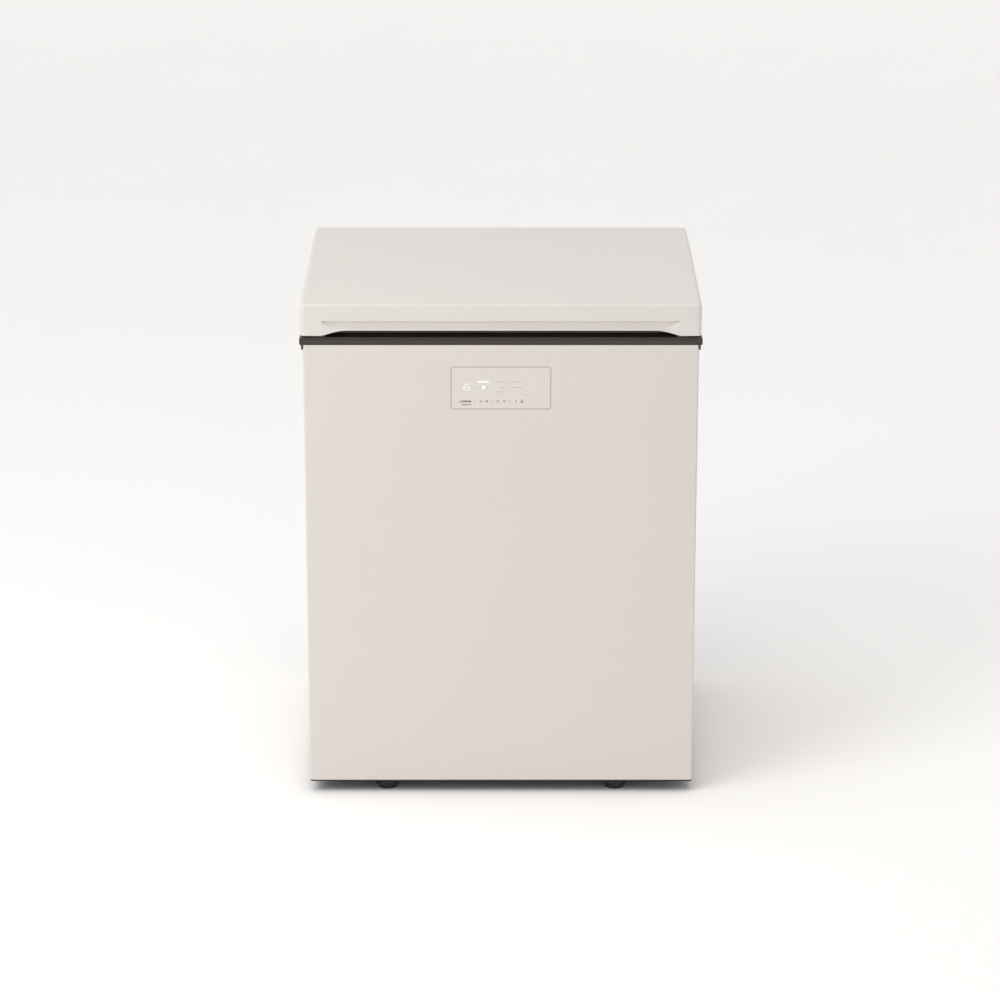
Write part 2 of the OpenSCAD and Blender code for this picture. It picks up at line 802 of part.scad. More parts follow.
port_x = comp_x - comp_r - 12;
discharge_r = 3.5;
suction_r = 4;
stub_wall = 2.5;
discharge_port = [port_x, comp_y, comp_z0 + 0.32 * comp_h];
suction_port = [port_x, comp_y, comp_z0 + 0.7 * comp_h];
cond_x0 = -150;
cond_pitch = 30;
cond_rows = 5;
cond_cols = 2;
cond_z0 = tray_z + 18;
cond_tube_r = 4;
fin_t = 0.6;
cond_len = fin_pitch * (fin_count - 1);
cond_end = 8;
cond_y0 = comp_y - cond_len / 2 - cond_end;
cond_y1 = comp_y + cond_len / 2 + cond_end;
wall_hole_r = 7;
wall_hole_drop = 22;
suction_wall = [fan_x + 40, machine_y0, machine_z1 - wall_hole_drop];
capillary_wall = [fan_x - 70, machine_y0, machine_z1 - wall_hole_drop];
drier_at = [fan_x - 90, machine_y0 + 20, machine_z1 / 2];
drier_r = 9;
drier_l = 60;

// Hot gas from the compressor, low past the fan, to the condenser's first tube
module discharge_pipe() {
    drop_x = discharge_port[0] - 14;
    lane_y = machine_y0 + 8;
    color(copper)
        tube(bent([discharge_port, [drop_x, comp_y, discharge_port[2]], [drop_x, lane_y, discharge_port[2]],
            [drop_x, lane_y, cond_z0], [cond_x0, lane_y, cond_z0], [cond_x0, cond_y0, cond_z0]], 6),
            discharge_r);
}

// Cold gas from the wall back to the compressor
module suction_pipe() {
    drop_x = suction_port[0] - 16;
    lane_y = machine_y0 + 24;
    color(copper)
        tube(bent([suction_wall, [suction_wall[0], lane_y, suction_wall[2]],
            [drop_x, lane_y, suction_wall[2]], [drop_x, lane_y, suction_port[2]],
            [drop_x, comp_y, suction_port[2]], suction_port], 7), suction_r);
}

// From the condenser's last tube, up and over into the top of the drier
module liquid_pipe() {
    first = [cond_x0 + cond_pitch * (cond_cols - 1), cond_y0, cond_z0];
    rise_x = drier_at[0] - 24;
    top_z = drier_at[2] + drier_l / 2 + 20;
    color(copper)
        tube(bent([first, [first[0], drier_at[1], cond_z0], [rise_x, drier_at[1], cond_z0],
            [rise_x, drier_at[1], top_z], [drier_at[0], drier_at[1], top_z],
            drier_at + [0, 0, drier_l / 2]], 4.5), 3);
}

// Copper can with tapered ends, standing beside the condenser
module filter_drier() {
    neck = 10;
    color(copper)
    translate(drier_at - [0, 0, drier_l / 2]) {
        cylinder(r1 = 2.5, r2 = drier_r, h = neck);
        translate([0, 0, neck])
            cylinder(r = drier_r, h = drier_l - 2 * neck);
        translate([0, 0, drier_l - neck])
            cylinder(r1 = drier_r, r2 = 3.2, h = neck);
    }
}

// Thin tube from the drier, with three open turns, up and into the wall
module capillary_tube() {
    turns = 3;
    per_turn = 10;
    turn_pitch = 6;
    coil_r = 17;
    lead = 14;
    start = drier_at - [0, 0, drier_l / 2];
    low = start - [0, 0, lead];
    axis = [low[0] + coil_r, low[1] + 1.5 * coil_r, low[2] - turn_pitch];
    coil = [for (i = [0:turns * per_turn]) let (a = 180 + i * 360 / per_turn)
        [axis[0] + coil_r * cos(a), axis[1] + coil_r * sin(a), axis[2] + i * turn_pitch / per_turn]];
    out = [capillary_wall[0], capillary_wall[1] + lead, axis[2] + 40];
    last = coil[len(coil) - 1];
    rest = bent([last, last + [0, 0, lead], out, [out[0], out[1], capillary_wall[2]], capillary_wall], 5);
    color(copper)
        tube(concat([start, low], coil, [for (i = [1:len(rest) - 1]) rest[i]]), 1.2, 6);
}

// Places of the condenser's tubes in (x, z)
function cond_place(c, r) = [cond_x0 + c * cond_pitch, cond_z0 + r * cond_pitch];

// Thin fins across the tubes
module condenser_fins() {
    fin_edge = 14;
    color(aluminium)
    for (i = [0:fin_count - 1])
        let (y = comp_y - cond_len / 2 + i * fin_pitch)
        along_y(y - fin_t / 2, y + fin_t / 2)
            difference() {
                translate([cond_x0 - fin_edge, cond_z0 - fin_edge])
                    square([cond_pitch * (cond_cols - 1) + 2 * fin_edge,
                        cond_pitch * (cond_rows - 1) + 2 * fin_edge]);
                for (c = [0:cond_cols - 1], r = [0:cond_rows - 1])
                    translate(cond_place(c, r))
                        circle(cond_tube_r + run_gap);
            }
}

// One tube that runs to and fro: up the first column, across, and up the second
module condenser_tube() {
    color(copper) {
        for (c = [0:cond_cols - 1], r = [0:cond_rows - 1])
            translate([cond_place(c, r)[0], cond_y0, cond_place(c, r)[1]])
                rotate([-90, 0, 0])
                    cylinder(r = cond_tube_r, h = cond_y1 - cond_y0);
        for (c = [0:cond_cols - 1], r = [0:cond_rows - 2])
            condenser_bend(cond_place(c, r) + [0, cond_pitch / 2], r % 2 == 0 ? 1 : -1, 0);
        condenser_bend([cond_x0 + cond_pitch / 2, cond_z0 + cond_pitch * (cond_rows - 1)], 1, 1);
    }
}

// A half-ring return bend at the back (end = 1) or front (end = -1), upright or, across, level
module condenser_bend(at, end, across) {
    translate([at[0], end > 0 ? cond_y1 : cond_y0, at[1]])
        rotate([0, across ? 0 : 90, 0])
            rotate_extrude(angle = end > 0 ? 180 : -180)
                translate([cond_pitch / 2, 0])
                    circle(cond_tube_r);
}

// ---- Fan ----

fan_z = tray_z + 76;
throat_r = fan_r + 4;
shroud_w = 2 * throat_r + 16;
shroud_t = 2;
fan_shaft_r = 2.5;
motor_r = 21;
motor_l = 34;
nose_l = 4;
fan_depth = 22;

// Plate with a round throat and three arms that hold the motor
module fan_shroud() {
    arm_w = 8;
    arm_t = 3;
    clasp_h = 12;
    leg_w = 16;
    color(black)
    translate([fan_x, comp_y, fan_z])
        rotate([0, 90, 0]) {
            difference() {
                union() {
                    translate([0, 0, -shroud_t / 2])
                        linear_extrude(shroud_t)
                            round_rect(shroud_w, shroud_w, 6);
                    cylinder(r = throat_r + shroud_t, h = fan_depth);
                }
                cylinder(r = throat_r, h = 4 * fan_depth, center = true);
            }
            translate([0, 0, fan_depth]) {
                for (i = [0:2])
                    rotate([0, 0, 90 + i * 120])
                        translate([motor_r + 1, -arm_w / 2, 0])
                            cube([throat_r - motor_r, arm_w, arm_t]);
                difference() {
                    cylinder(r = motor_r + arm_t, h = clasp_h);
                    translate([0, 0, -1])
                        cylinder(r = motor_r, h = clasp_h + 2);
                }
            }
            for (y = [-1, 1])
                translate([shroud_w / 2 - shroud_t, y * (shroud_w / 2 - 12) - leg_w / 2, -shroud_t / 2])
                    cube([fan_z - tray_z - shroud_w / 2 + shroud_t, leg_w, shroud_t]);
        }
}

// Motor can with a bearing nose that the shaft turns in
module fan_motor() {
    color(steel)
    translate([fan_x + fan_depth, comp_y, fan_z])
        rotate([0, 90, 0])
            difference() {
                union() {
                    cylinder(r = motor_r - run_gap, h = motor_l);
                    translate([0, 0, -nose_l])
                        cylinder(r = motor_r / 3, h = nose_l);
                }
                translate([0, 0, -nose_l - 1])
                    cylinder(r = fan_shaft_r + run_gap, h = motor_l - nose_l);
            }
}

// A blade: a thin sheet bent round a cylinder, pitched across the flow, with a rounded outline
module fan_blade(root_r) {
    pitch = 32;
    sheet = 1.8;
    camber_r = 48;
    span = 42;
    intersection() {
        translate([root_r - 2, 0, 4])
            rotate([pitch, 0, 0])
                translate([0, 0, camber_r - 2])
                    rotate([0, 90, 0])
                        rotate([0, 0, -span / 2])
                            rotate_extrude(angle = span)
                                translate([camber_r - sheet / 2, 0])
                                    square([sheet, fan_r]);
        translate([0, 0, -fan_depth])
            linear_extrude(2 * fan_depth)
                intersection() {
                    circle(fan_r);
                    translate([(root_r + fan_r) / 2, 0])
                        circle((fan_r - root_r) / 2 + 4);
                }
    }
}

// Five curved blades on a hub, with the shaft that runs back into the motor
module fan_wheel() {
    hub_r = 17;
    hub_z0 = -4;
    blades = 5;
    color(plastic_white)
    translate([fan_x, comp_y, fan_z])
        rotate([0, 90, 0]) {
            translate([0, 0, hub_z0])
                cylinder(r = hub_r, h = fan_depth - nose_l - hub_z0 - 2);
            cylinder(r = fan_shaft_r, h = fan_depth + motor_l - 3 * nose_l);
            for (i = [0:blades - 1])
                rotate([0, 0, i * 360 / blades])
                    fan_blade(hub_r);
        }
}

// ---- Electrics ----

box_w = 115;
box_d = 104;
box_h = 46;
box_side_gap = 4;
box_x0 = -(cab_w / 2 - rear_flange - box_side_gap);
box_x1 = box_x0 + box_w;
box_y0 = comp_y - box_d / 2;
box_y1 = comp_y + box_d / 2;
box_z1 = machine_z1 - seam;
box_z0 = box_z1 - box_h;
box_wall = 2;

// Plastic box for the main board, hung under the compartment's ceiling and open below
module control_box() {
    color(plastic_white)
    difference() {
        block([box_x0, box_y0, box_z0], [box_x1, box_y1, box_z1]);
        block([box_x0 + box_wall, box_y0 + box_wall, box_z0 - 1],
            [box_x1 - box_wall, box_y1 - box_wall, box_z1 - box_wall]);
    }
}

// Lid that closes the box from below, with a lip inside its wall
module control_box_cover() {
    lip = box_wall + slide_gap / 2;
    lip_h = 5;
    color(plastic_white)
    difference() {
        union() {
            block([box_x0, box_y0, box_z0 - box_wall], [box_x1, box_y1, box_z0]);
            block([box_x0 + lip, box_y0 + lip, box_z0 - box_wall],
                [box_x1 - lip, box_y1 - lip, box_z0 + lip_h]);
        }
        block([box_x0 + 2 * lip, box_y0 + 2 * lip, box_z0],
            [box_x1 - 2 * lip, box_y1 - 2 * lip, box_z0 + lip_h + 1]);
    }
}

// Main board with its transformer, relay and capacitor
module control_board() {
    z = box_z0 + 0.3 * box_h;
    top = z + board_t;
    edge = box_wall + seam;
    color(board_green)
        block([box_x0 + edge, box_y0 + edge, z], [box_x1 - edge, box_y1 - edge, top]);
    color(black)
    translate([box_x0 + box_w / 2, comp_y, top]) {
        block([-0.37 * box_w, -0.29 * box_d, 0], [-0.07 * box_w, 0, 0.52 * box_h]);
        block([0.15 * box_w, -0.33 * box_d, 0], [0.34 * box_w, -0.15 * box_d, 0.35 * box_h]);
        translate([0.2 * box_w, 0.23 * box_d, 0])
            cylinder(r = 0.09 * box_w, h = 0.48 * box_h);
    }
}

// ---- Rear cover ----

cover_z0 = tray_z + 1;
cover_z1 = machine_z1 - 1;
cover_w = cab_w - 2 * sheet_t - 1;
cover_screw_r = 1.9;
cover_screw_in = 16;
gland_x = box_x0 + 40;
gland_z = cover_z0 + 30;
gland_r = 9;
gland_bore_r = 4;

// The three screws on the right edge of the rear cover, along +Y
module cover_screw_places() {
    step = (cover_z1 - cover_z0 - 2 * cover_screw_in) / 2;
    for (i = [0:2])
        translate([cab_w / 2 - rear_flange / 2 - 1, back_y, cover_z0 + cover_screw_in + i * step])
            rotate([-90, 0, 0])
                children();
}

// Sheet cover with banks of louvre slots for the condenser's air
module machine_cover() {
    slot_w = 5;
    slot_h = 34;
    slot_pitch = 13;
    row_pitch = slot_h + 12;
    row_z = cover_z0 + 52;
    bank_x = 145;
    bank_slots = 9;
    first = -(bank_slots - 1) / 2 * slot_pitch;
    color(zinc)
    difference() {
        along_y(back_y - sheet_t, back_y)
            difference() {
                translate([-cover_w / 2, cover_z0])
                    square([cover_w, cover_z1 - cover_z0]);
                for (bank = [-1, 1], row = [0:2], i = [0:bank_slots - 1])
                    translate([bank * bank_x + first + i * slot_pitch, row_z + row * row_pitch])
                        round_rect(slot_w, slot_h, slot_w / 2 - 0.01);
                translate([gland_x, gland_z])
                    circle(gland_r);
            }
        both_sides()
            cover_screw_places()
                cylinder(r = cover_screw_r + run_gap, h = 4 * sheet_t, center = true);
    }
}

// Screws through the rear cover into the cabinet's flanges
module machine_cover_screws() {
    color(steel)
    both_sides()
        cover_screw_places()
            screw(4.5, 2.6, cover_screw_r, 6);
}

// Grommet in the rear cover that the mains lead would leave through
module cord_gland() {
    flange_t = 3;
    color(black)
    translate([gland_x, back_y, gland_z])
        rotate([-90, 0, 0])
            difference() {
                union() {
                    cylinder(r = gland_r + 4, h = flange_t);
                    translate([0, 0, -sheet_t])
                        cylinder(r = gland_r - run_gap, h = sheet_t);
                    translate([0, 0, -sheet_t - flange_t])
                        cylinder(r = gland_r + 2, h = flange_t);
                }
                cylinder(r = gland_bore_r, h = 8 * flange_t, center = true);
            }
}

// ---- Hinges ----

hinge_z = deck_z + hinge_rise;
channel_x = 17;
channel_d = 22;
channel_y1 = back_y + bracket_t + channel_d;
cam_w = 16;
plunger_h = 10;
plunger_lift = cam_rate * lid_open * PI / 180;
lobe_drop = knuckle_r + seam + plunger_lift;
plunger_top = hinge_z - lobe_drop - slide_gap / 2;
rod_r = spring_r - 2 * wire_r - 1;
seat_t = 4;
plunger_y = hinge_y - cam_rate;
spring_z1 = plunger_top - plunger_h;
seat_z = spring_z1 - spring_l;
bracket_z0 = seat_z - 24;
bracket_z1 = cab_z1 - 4;
bracket_w = 74;
bracket_screw_r = 2.4;
anchor_w = bracket_w - 6;
anchor_z0 = bracket_z0 + 4;
anchor_z1 = bracket_z1 - 4;
anchor_t = 3;
bracket_screw_l = bracket_t + sheet_t + anchor_t + 3;

// The four screws of each bracket, along +Y, on both sides
module bracket_screw_places() {
    side_in = 9;
    end_in = 15;
    both_sides()
        for (x = [-1, 1], z = [bracket_z0 + end_in, bracket_z1 - end_in])
            translate([hinge_x + x * (bracket_w / 2 - side_in), back_y, z])
                rotate([-90, 0, 0])
                    children();
}

// Side view of one channel wall: a sloping foot, a straight run beside the spring, and a neck
// that carries the round ear
module channel_wall_section() {
    foot_drop = 18;
    neck_z = bracket_z1 - 14;
    polygon([[back_y, seat_z - foot_drop], [channel_y1, seat_z - 2 * seat_t], [channel_y1, neck_z],
        [hinge_y + ear_r, hinge_z - ear_r / 2], [hinge_y + ear_r, hinge_z], [hinge_y - ear_r, hinge_z],
        [hinge_y - ear_r, hinge_z - ear_r], [back_y, bracket_z1 - 2 * bracket_t]]);
    translate([hinge_y, hinge_z])
        circle(ear_r);
}

// Cabinet half of the hinge: a plate, a channel for the spring, its seat and two ears
module hinge_bracket() {
    color(zinc)
    difference() {
        union() {
            along_y(back_y, back_y + bracket_t)
                translate([hinge_x, (bracket_z0 + bracket_z1) / 2])
                    round_rect(bracket_w, bracket_z1 - bracket_z0, 8);
            for (s = [-1, 1])
                translate([hinge_x + s * (channel_x + bracket_t / 2), 0, 0])
                    along_x(-bracket_t / 2, bracket_t / 2)
                        channel_wall_section();
            block([hinge_x - channel_x - bracket_t / 4, back_y + bracket_t / 2, seat_z - seat_t],
                [hinge_x + channel_x + bracket_t / 4, channel_y1, seat_z]);
        }
        translate([hinge_x, plunger_y, seat_z - seat_t])
            cylinder(r = rod_r + slide_gap, h = 4 * seat_t, center = true);
        bracket_screw_places()
            cylinder(r = bracket_screw_r + run_gap, h = 8 * bracket_t, center = true);
        translate([hinge_x, hinge_y, hinge_z])
            rotate([0, 90, 0])
                cylinder(r = pin_r + run_gap, h = 4 * channel_x, center = true);
    }
}

// Screws of both brackets
module hinge_bracket_screws() {
    color(steel)
    bracket_screw_places()
        translate([0, 0, bracket_t])
            screw(5, 3, bracket_screw_r, bracket_screw_l);
}

// Steel plates foamed in behind the back panel, which the bracket screws bite into
module hinge_anchor_plates() {
    color(steel)
    difference() {
        both_sides()
            block([hinge_x - anchor_w / 2, back_y - sheet_t - anchor_t, anchor_z0],
                [hinge_x + anchor_w / 2, back_y - sheet_t, anchor_z1]);
        bracket_screw_places()
            cylinder(r = bracket_screw_r + run_gap, h = 8 * bracket_t, center = true);
    }
}

// Headed pins through the ears and the arm's knuckle
module hinge_pins() {
    reach = channel_x + bracket_t + slide_gap;
    head_t = 1.8;
    color(steel)
    both_sides()
        translate([hinge_x, hinge_y, hinge_z])
            rotate([0, 90, 0]) {
                cylinder(r = pin_r, h = 2 * reach, center = true);
                for (end = [-reach - head_t, reach])
                    translate([0, 0, end])
                        cylinder(r = pin_r + 2, h = head_t);
            }
}

// Middle line of the hinge spring, with one close-wound turn at each end
function spring_path(per_turn) = let (
    mean_r = spring_r - wire_r, top = spring_z1 - wire_r - seam / 2, low = seat_z + wire_r + seam / 2,
    close = 2 * wire_r + 0.5)
    [for (i = [0:spring_coils * per_turn]) let (turn = i / per_turn, a = 360 * turn,
        share = (turn - 1) / (spring_coils - 2),
        z = turn < 1 ? low + turn * close
            : turn > spring_coils - 1 ? top - (spring_coils - turn) * close
            : low + close + (top - low - 2 * close) * share)
        [hinge_x + mean_r * cos(a), plunger_y + mean_r * sin(a), z]];

// Compression spring between the bracket's seat and the plunger
module hinge_spring() {
    per_turn = 8;
    path = spring_path(per_turn);
    echo(least_gap_of_hinge_spring_mm = least_gap(path, wire_r, per_turn));
    color(steel)
        tube(path, wire_r, 6);
}

// Sliding block that the spring pushes up against the arm's cam, with a guide rod in the spring
module hinge_plunger() {
    block_d = 17;
    block_y1 = channel_y1 - 1.5;
    rod_out = 6;
    rod_z0 = seat_z - seat_t - rod_out - plunger_lift;
    color(black) {
        block([hinge_x - channel_x + slide_gap, block_y1 - block_d, spring_z1],
            [hinge_x + channel_x - slide_gap, block_y1, plunger_top]);
        translate([hinge_x, plunger_y, rod_z0])
            cylinder(r = rod_r, h = spring_z1 + 1 - rod_z0);
    }
}

// Point of the cam that touches the plunger when the lid has opened by a degrees. The flat
// plunger rises in step with the angle, so the curve is an involute of a circle of cam_rate.
function cam_point(a) = let (drop = lobe_drop - cam_rate * a * PI / 180)
    [hinge_y - cam_rate * cos(a) + drop * sin(a), hinge_z - cam_rate * sin(a) - drop * cos(a)];

leaf_w = 56;
leaf_t = 2.5;
leaf_z0 = hinge_z + 8;
leaf_z1 = overall_h - band_rear_fall - edge_rear_r - 4;

// Lid half of the hinge: a leaf on the lid's back, a knuckle round the pin and the cam below it
module hinge_arm() {
    cam_steps = 16;
    knuckle_l = 2 * channel_x - 3;
    web_w = 22;
    color(zinc)
    difference() {
        union() {
            along_y(lid_y1, lid_y1 + leaf_t)
                translate([hinge_x, (leaf_z0 + leaf_z1) / 2])
                    round_rect(leaf_w, leaf_z1 - leaf_z0, 6);
            translate([hinge_x - knuckle_l / 2, hinge_y, hinge_z])
                rotate([0, 90, 0])
                    cylinder(r = knuckle_r, h = knuckle_l);
            along_x(hinge_x - web_w / 2, hinge_x + web_w / 2)
                polygon([[lid_y1 + leaf_t / 2, leaf_z0], [hinge_y - knuckle_r * 0.7, hinge_z + 1],
                    [hinge_y, hinge_z], [hinge_y + knuckle_r * 0.8, hinge_z + knuckle_r * 0.55],
                    [lid_y1 + leaf_t / 2, leaf_z0 + 16]]);
            along_x(hinge_x - cam_w / 2, hinge_x + cam_w / 2)
                polygon(concat([[hinge_y, hinge_z], [hinge_y - knuckle_r * 0.95, hinge_z]],
                    [for (i = [0:cam_steps]) cam_point(lid_open * i / cam_steps)]));
        }
        translate([hinge_x, hinge_y, hinge_z])
            rotate([0, 90, 0])
                cylinder(r = pin_r + run_gap, h = 4 * channel_x, center = true);
        lid_screw_places()
            cylinder(r = lid_screw_r + run_gap, h = 8 * leaf_t, center = true);
    }
}

lid_screw_r = 2.1;
lid_screw_l = leaf_t + shell_t + anchor_t + 2;

// The four screws of each arm's leaf, along +Y, on both sides
module lid_screw_places() {
    edge = 8;
    both_sides()
        for (x = [-1, 1], z = [leaf_z0 + edge, leaf_z1 - edge])
            translate([hinge_x + x * (leaf_w / 2 - edge), lid_y1, z])
                rotate([-90, 0, 0])
                    children();
}

// Screws of both leaves
module lid_screws() {
    color(steel)
    lid_screw_places()
        translate([0, 0, leaf_t])
            screw(2 * lid_screw_r, 2.6, lid_screw_r, lid_screw_l);
}

// Steel plates inside the lid's back wall, which the leaf screws bite into
module lid_anchor_plates() {
    color(steel)
    difference() {
        both_sides()
            block([hinge_x - leaf_w / 2, lid_y1 - shell_t - anchor_t, leaf_z0 + 1],
                [hinge_x + leaf_w / 2, lid_y1 - shell_t, leaf_z1 - 1]);
        lid_screw_places()
            cylinder(r = lid_screw_r + run_gap, h = 4 * lid_screw_l, center = true);
    }
}

// ---- Feet and rollers ----

foot_y = cab_y0 + foot_in;
bush_r = 8;
bush_flange = 1.5;
// Length of stem that stays in the bush when the foot is screwed right out
thread_hold = 12;
bush_z1 = base_z0 + thread_hold + foot_travel + 2;
sole_h = 2.5;
peg_r = 3;
peg_h = 3;
knob_h = 14;
knob_z0 = sole_h + seam;
knob_z1 = knob_z0 + knob_h;
stem_z1 = base_z0 + thread_hold + foot_travel;

// Flanged bushes in the base pan that the front feet screw into
module foot_bushes() {
    color(zinc)
    both_sides()
        translate([foot_x, foot_y, 0])
            difference() {
                union() {
                    translate([0, 0, base_z0])
                        cylinder(r = bush_r, h = bush_z1 - base_z0);
                    translate([0, 0, base_z0 - bush_flange])
                        cylinder(r = 1.5 * bush_r, h = bush_flange);
                }
                cylinder(r = stem_r + run_gap, h = bush_z1 + 1);
            }
}

// Rubber sole that stays still on the floor while the knob turns
module foot_sole() {
    color(black)
    translate([foot_x, foot_y, 0]) {
        cylinder(r = foot_r - 3, h = sole_h);
        translate([0, 0, sole_h])
            cylinder(r = peg_r, h = peg_h);
    }
}

// Ribbed knob with the stem that screws into the bush
module foot_knob() {
    taper_h = 3.5;
    groove_r = 1.3;
    color(black)
    translate([foot_x, foot_y, knob_z0])
        difference() {
            union() {
                cylinder(r1 = foot_r - 3, r2 = foot_r, h = taper_h);
                translate([0, 0, taper_h])
                    cylinder(r = foot_r, h = knob_h - taper_h);
                translate([0, 0, knob_h])
                    cylinder(r = stem_r, h = stem_z1 - knob_z1);
            }
            for (i = [0:foot_ribs - 1])
                rotate([0, 0, i * 360 / foot_ribs])
                    translate([foot_r + groove_r / 3, 0, taper_h - 0.5])
                        cylinder(r = groove_r, h = knob_h);
            translate([0, 0, -1])
                cylinder(r = peg_r + run_gap, h = peg_h + 1.5);
        }
}

roller_y = back_y - 34;
roller_side_gap = 1;
axle_r = 3;

// Axles fixed in the cheeks of the compressor's tray
module roller_axles() {
    length = roller_w + 9;
    head_t = 1.5;
    color(steel)
    both_sides()
        translate([roller_x - length / 2, roller_y, roller_r])
            rotate([0, 90, 0]) {
                cylinder(r = axle_r - run_gap / 2, h = length);
                translate([0, 0, -head_t])
                    cylinder(r = axle_r + head_t, h = head_t);
            }
}

// Rear roller with a recess in each face, between its rim and its hub
module roller() {
    rim = 3;
    recess = 3;
    color(black)
    translate([roller_x - roller_w / 2, roller_y, roller_r])
        rotate([0, 90, 0])
            difference() {
                cylinder(r = roller_r, h = roller_w);
                translate([0, 0, -1])
                    cylinder(r = axle_r + run_gap, h = roller_w + 2);
                for (z = [-1, roller_w - recess])
                    translate([0, 0, z])
                        difference() {
                            cylinder(r = roller_r - rim, h = recess + 1);
                            cylinder(r = axle_r + rim, h = 4 * recess, center = true);
                        }
            }
}

// ---- Lid ----

lid_top_front = overall_h - band_front_fall;
lid_top_rear = overall_h - band_rear_fall;
gasket_h = 10.5;
liner_z = deck_z + gasket_h;
lid_half = lid_w / 2;
lid_plan_r = 8;
lid_side_r = 6;
wall_back = front_y + shell_t + scoop_d;
insert_y1 = wall_back + pocket_d;

// Side view of the lid inset by t, from height z0 up
function lid_outline(t, z0) = concat(
    [[front_y + t, z0]],
    arc([front_y + edge_front_r, lid_top_front - edge_front_r], edge_front_r - t, 180, 90, 8),
    [[front_y + band_front, overall_h - t], [lid_y1 - band_rear, overall_h - t]],
    arc([lid_y1 - edge_rear_r, lid_top_rear - edge_rear_r], edge_rear_r - t, 90, 0, 6),
    [[lid_y1 - t, z0]]);

// Front view of what is cut from the front skirt, so that the fingers reach under it
module lip_cut() {
    steps = 8;
    edge = [for (i = [0:steps]) let (s = i / steps)
        [lip_w / 2 + lip_slope * (1 - s), lid_z0 + lip_rise * s * s * (3 - 2 * s)]];
    polygon(concat([[lip_w / 2 + lip_slope, lid_z0 - 5]], edge,
        [for (i = [steps:-1:0]) [-edge[i][0], edge[i][1]]], [[-lip_w / 2 - lip_slope, lid_z0 - 5]]));
}

// The lid's outer form inset by t, from height z0 up: its side view, its plan and its front
// view, each with its own round edges, cut to what they share
module lid_form(t, z0) {
    intersection() {
        along_x(-lid_half + t, lid_half - t)
            polygon(lid_outline(t, z0));
        round_block(lid_w - 2 * t, front_y + t, lid_y1 - t, z0 - 1, overall_h + 1, lid_plan_r - t);
        along_y(front_y - 1, lid_y1 + 1)
            translate([0, overall_h - t - lid_h])
                round_rect(lid_w - 2 * t, 2 * lid_h, lid_side_r - t);
    }
}

// One moulded cover: crowned top, plain sides, and the scoop and raised lip at the front
module lid_shell() {
    lip_face = 1.2;
    scoop_z0 = lid_z0 + lip_rise + lip_face;
    half_h = (lid_z0 + scoop_h - scoop_z0) / 2;
    radius = (half_h * half_h + scoop_d * scoop_d) / (2 * scoop_d);
    color(paint)
    difference() {
        lid_form(0, lid_z0);
        difference() {
            lid_form(shell_t, lid_z0 - 1);
            block([-scoop_w / 2 - shell_t, front_y, lid_z0],
                [scoop_w / 2 + shell_t, wall_back, lid_z0 + scoop_h + shell_t]);
        }
        along_y(front_y - 1, wall_back + 1)
            lip_cut();
        translate([0, front_y + scoop_d - radius, scoop_z0 + half_h]) {
            rotate([0, 90, 0])
                cylinder(r = radius, h = scoop_w - 2 * half_h, center = true);
            both_sides()
                translate([scoop_w / 2 - half_h, 0, 0])
                    sphere(radius);
        }
        lid_screw_places()
            cylinder(r = lid_screw_r + run_gap, h = 4 * lid_screw_l, center = true);
    }
}

plug_half = tub_w / 2 - plug_gap;
plug_y0 = tub_y0 + plug_gap;
plug_y1 = tub_y1 - plug_gap;
plug_z = deck_z - plug_h;
plug_edge_r = 7;
panel_rise = 6;
panel_r = 16;

// The plug's form inset by t, up to height z1: round edges below, and two shallow panels
// pressed up into its underside with a rib left between them
module plug_form(t, z1) {
    panel_w = plug_half - 1.5 * panel_rim + 2 * t;
    difference() {
        basin(2 * (plug_half - t), plug_y0 + t, plug_y1 - t, plug_z + t, z1, tub_r - t, plug_edge_r - t);
        for (side = [-1, 1])
            translate([side * (panel_w / 2 - t + panel_rim / 2), 0, 0])
                round_block(panel_w, plug_y0 + panel_rim - t, plug_y1 - panel_rim + t,
                    plug_z - 1, plug_z + panel_rise + t, panel_r + t);
    }
}

// White inner panel: a rim under the gasket and a plug that drops into the tub's mouth
module lid_liner() {
    rim_half = lid_half - shell_t - seam;
    rim_y0 = front_y + shell_t + seam;
    rim_y1 = lid_y1 - shell_t - seam;
    color(plastic_white)
    difference() {
        union() {
            difference() {
                round_block(2 * rim_half, rim_y0, rim_y1, liner_z, liner_z + liner_t, lid_plan_r - shell_t);
                block([-scoop_w / 2 - shell_t - seam, front_y, lid_z0],
                    [scoop_w / 2 + shell_t + seam, insert_y1 + seam, overall_h]);
            }
            plug_form(0, liner_z + liner_t);
        }
        plug_form(liner_t, liner_z + 2 * liner_t);
    }
}

// Foam that fills the lid between its shell and its inner panel
module lid_foam() {
    pocket_half = scoop_w / 2 + shell_t + seam;
    pocket_top = lid_z0 + max(pocket_h, scoop_h + shell_t) + seam;
    color(foam)
    difference() {
        union() {
            lid_form(shell_t, liner_z + liner_t);
            plug_form(liner_t, liner_z + 2 * liner_t);
        }
        block([-pocket_half, front_y, lid_z0], [pocket_half, insert_y1, pocket_top]);
        both_sides()
            block([hinge_x - leaf_w / 2 - 1, lid_y1 - lid_screw_l - 1, leaf_z0],
                [hinge_x + leaf_w / 2 + 1, lid_y1, leaf_z1]);
    }
}

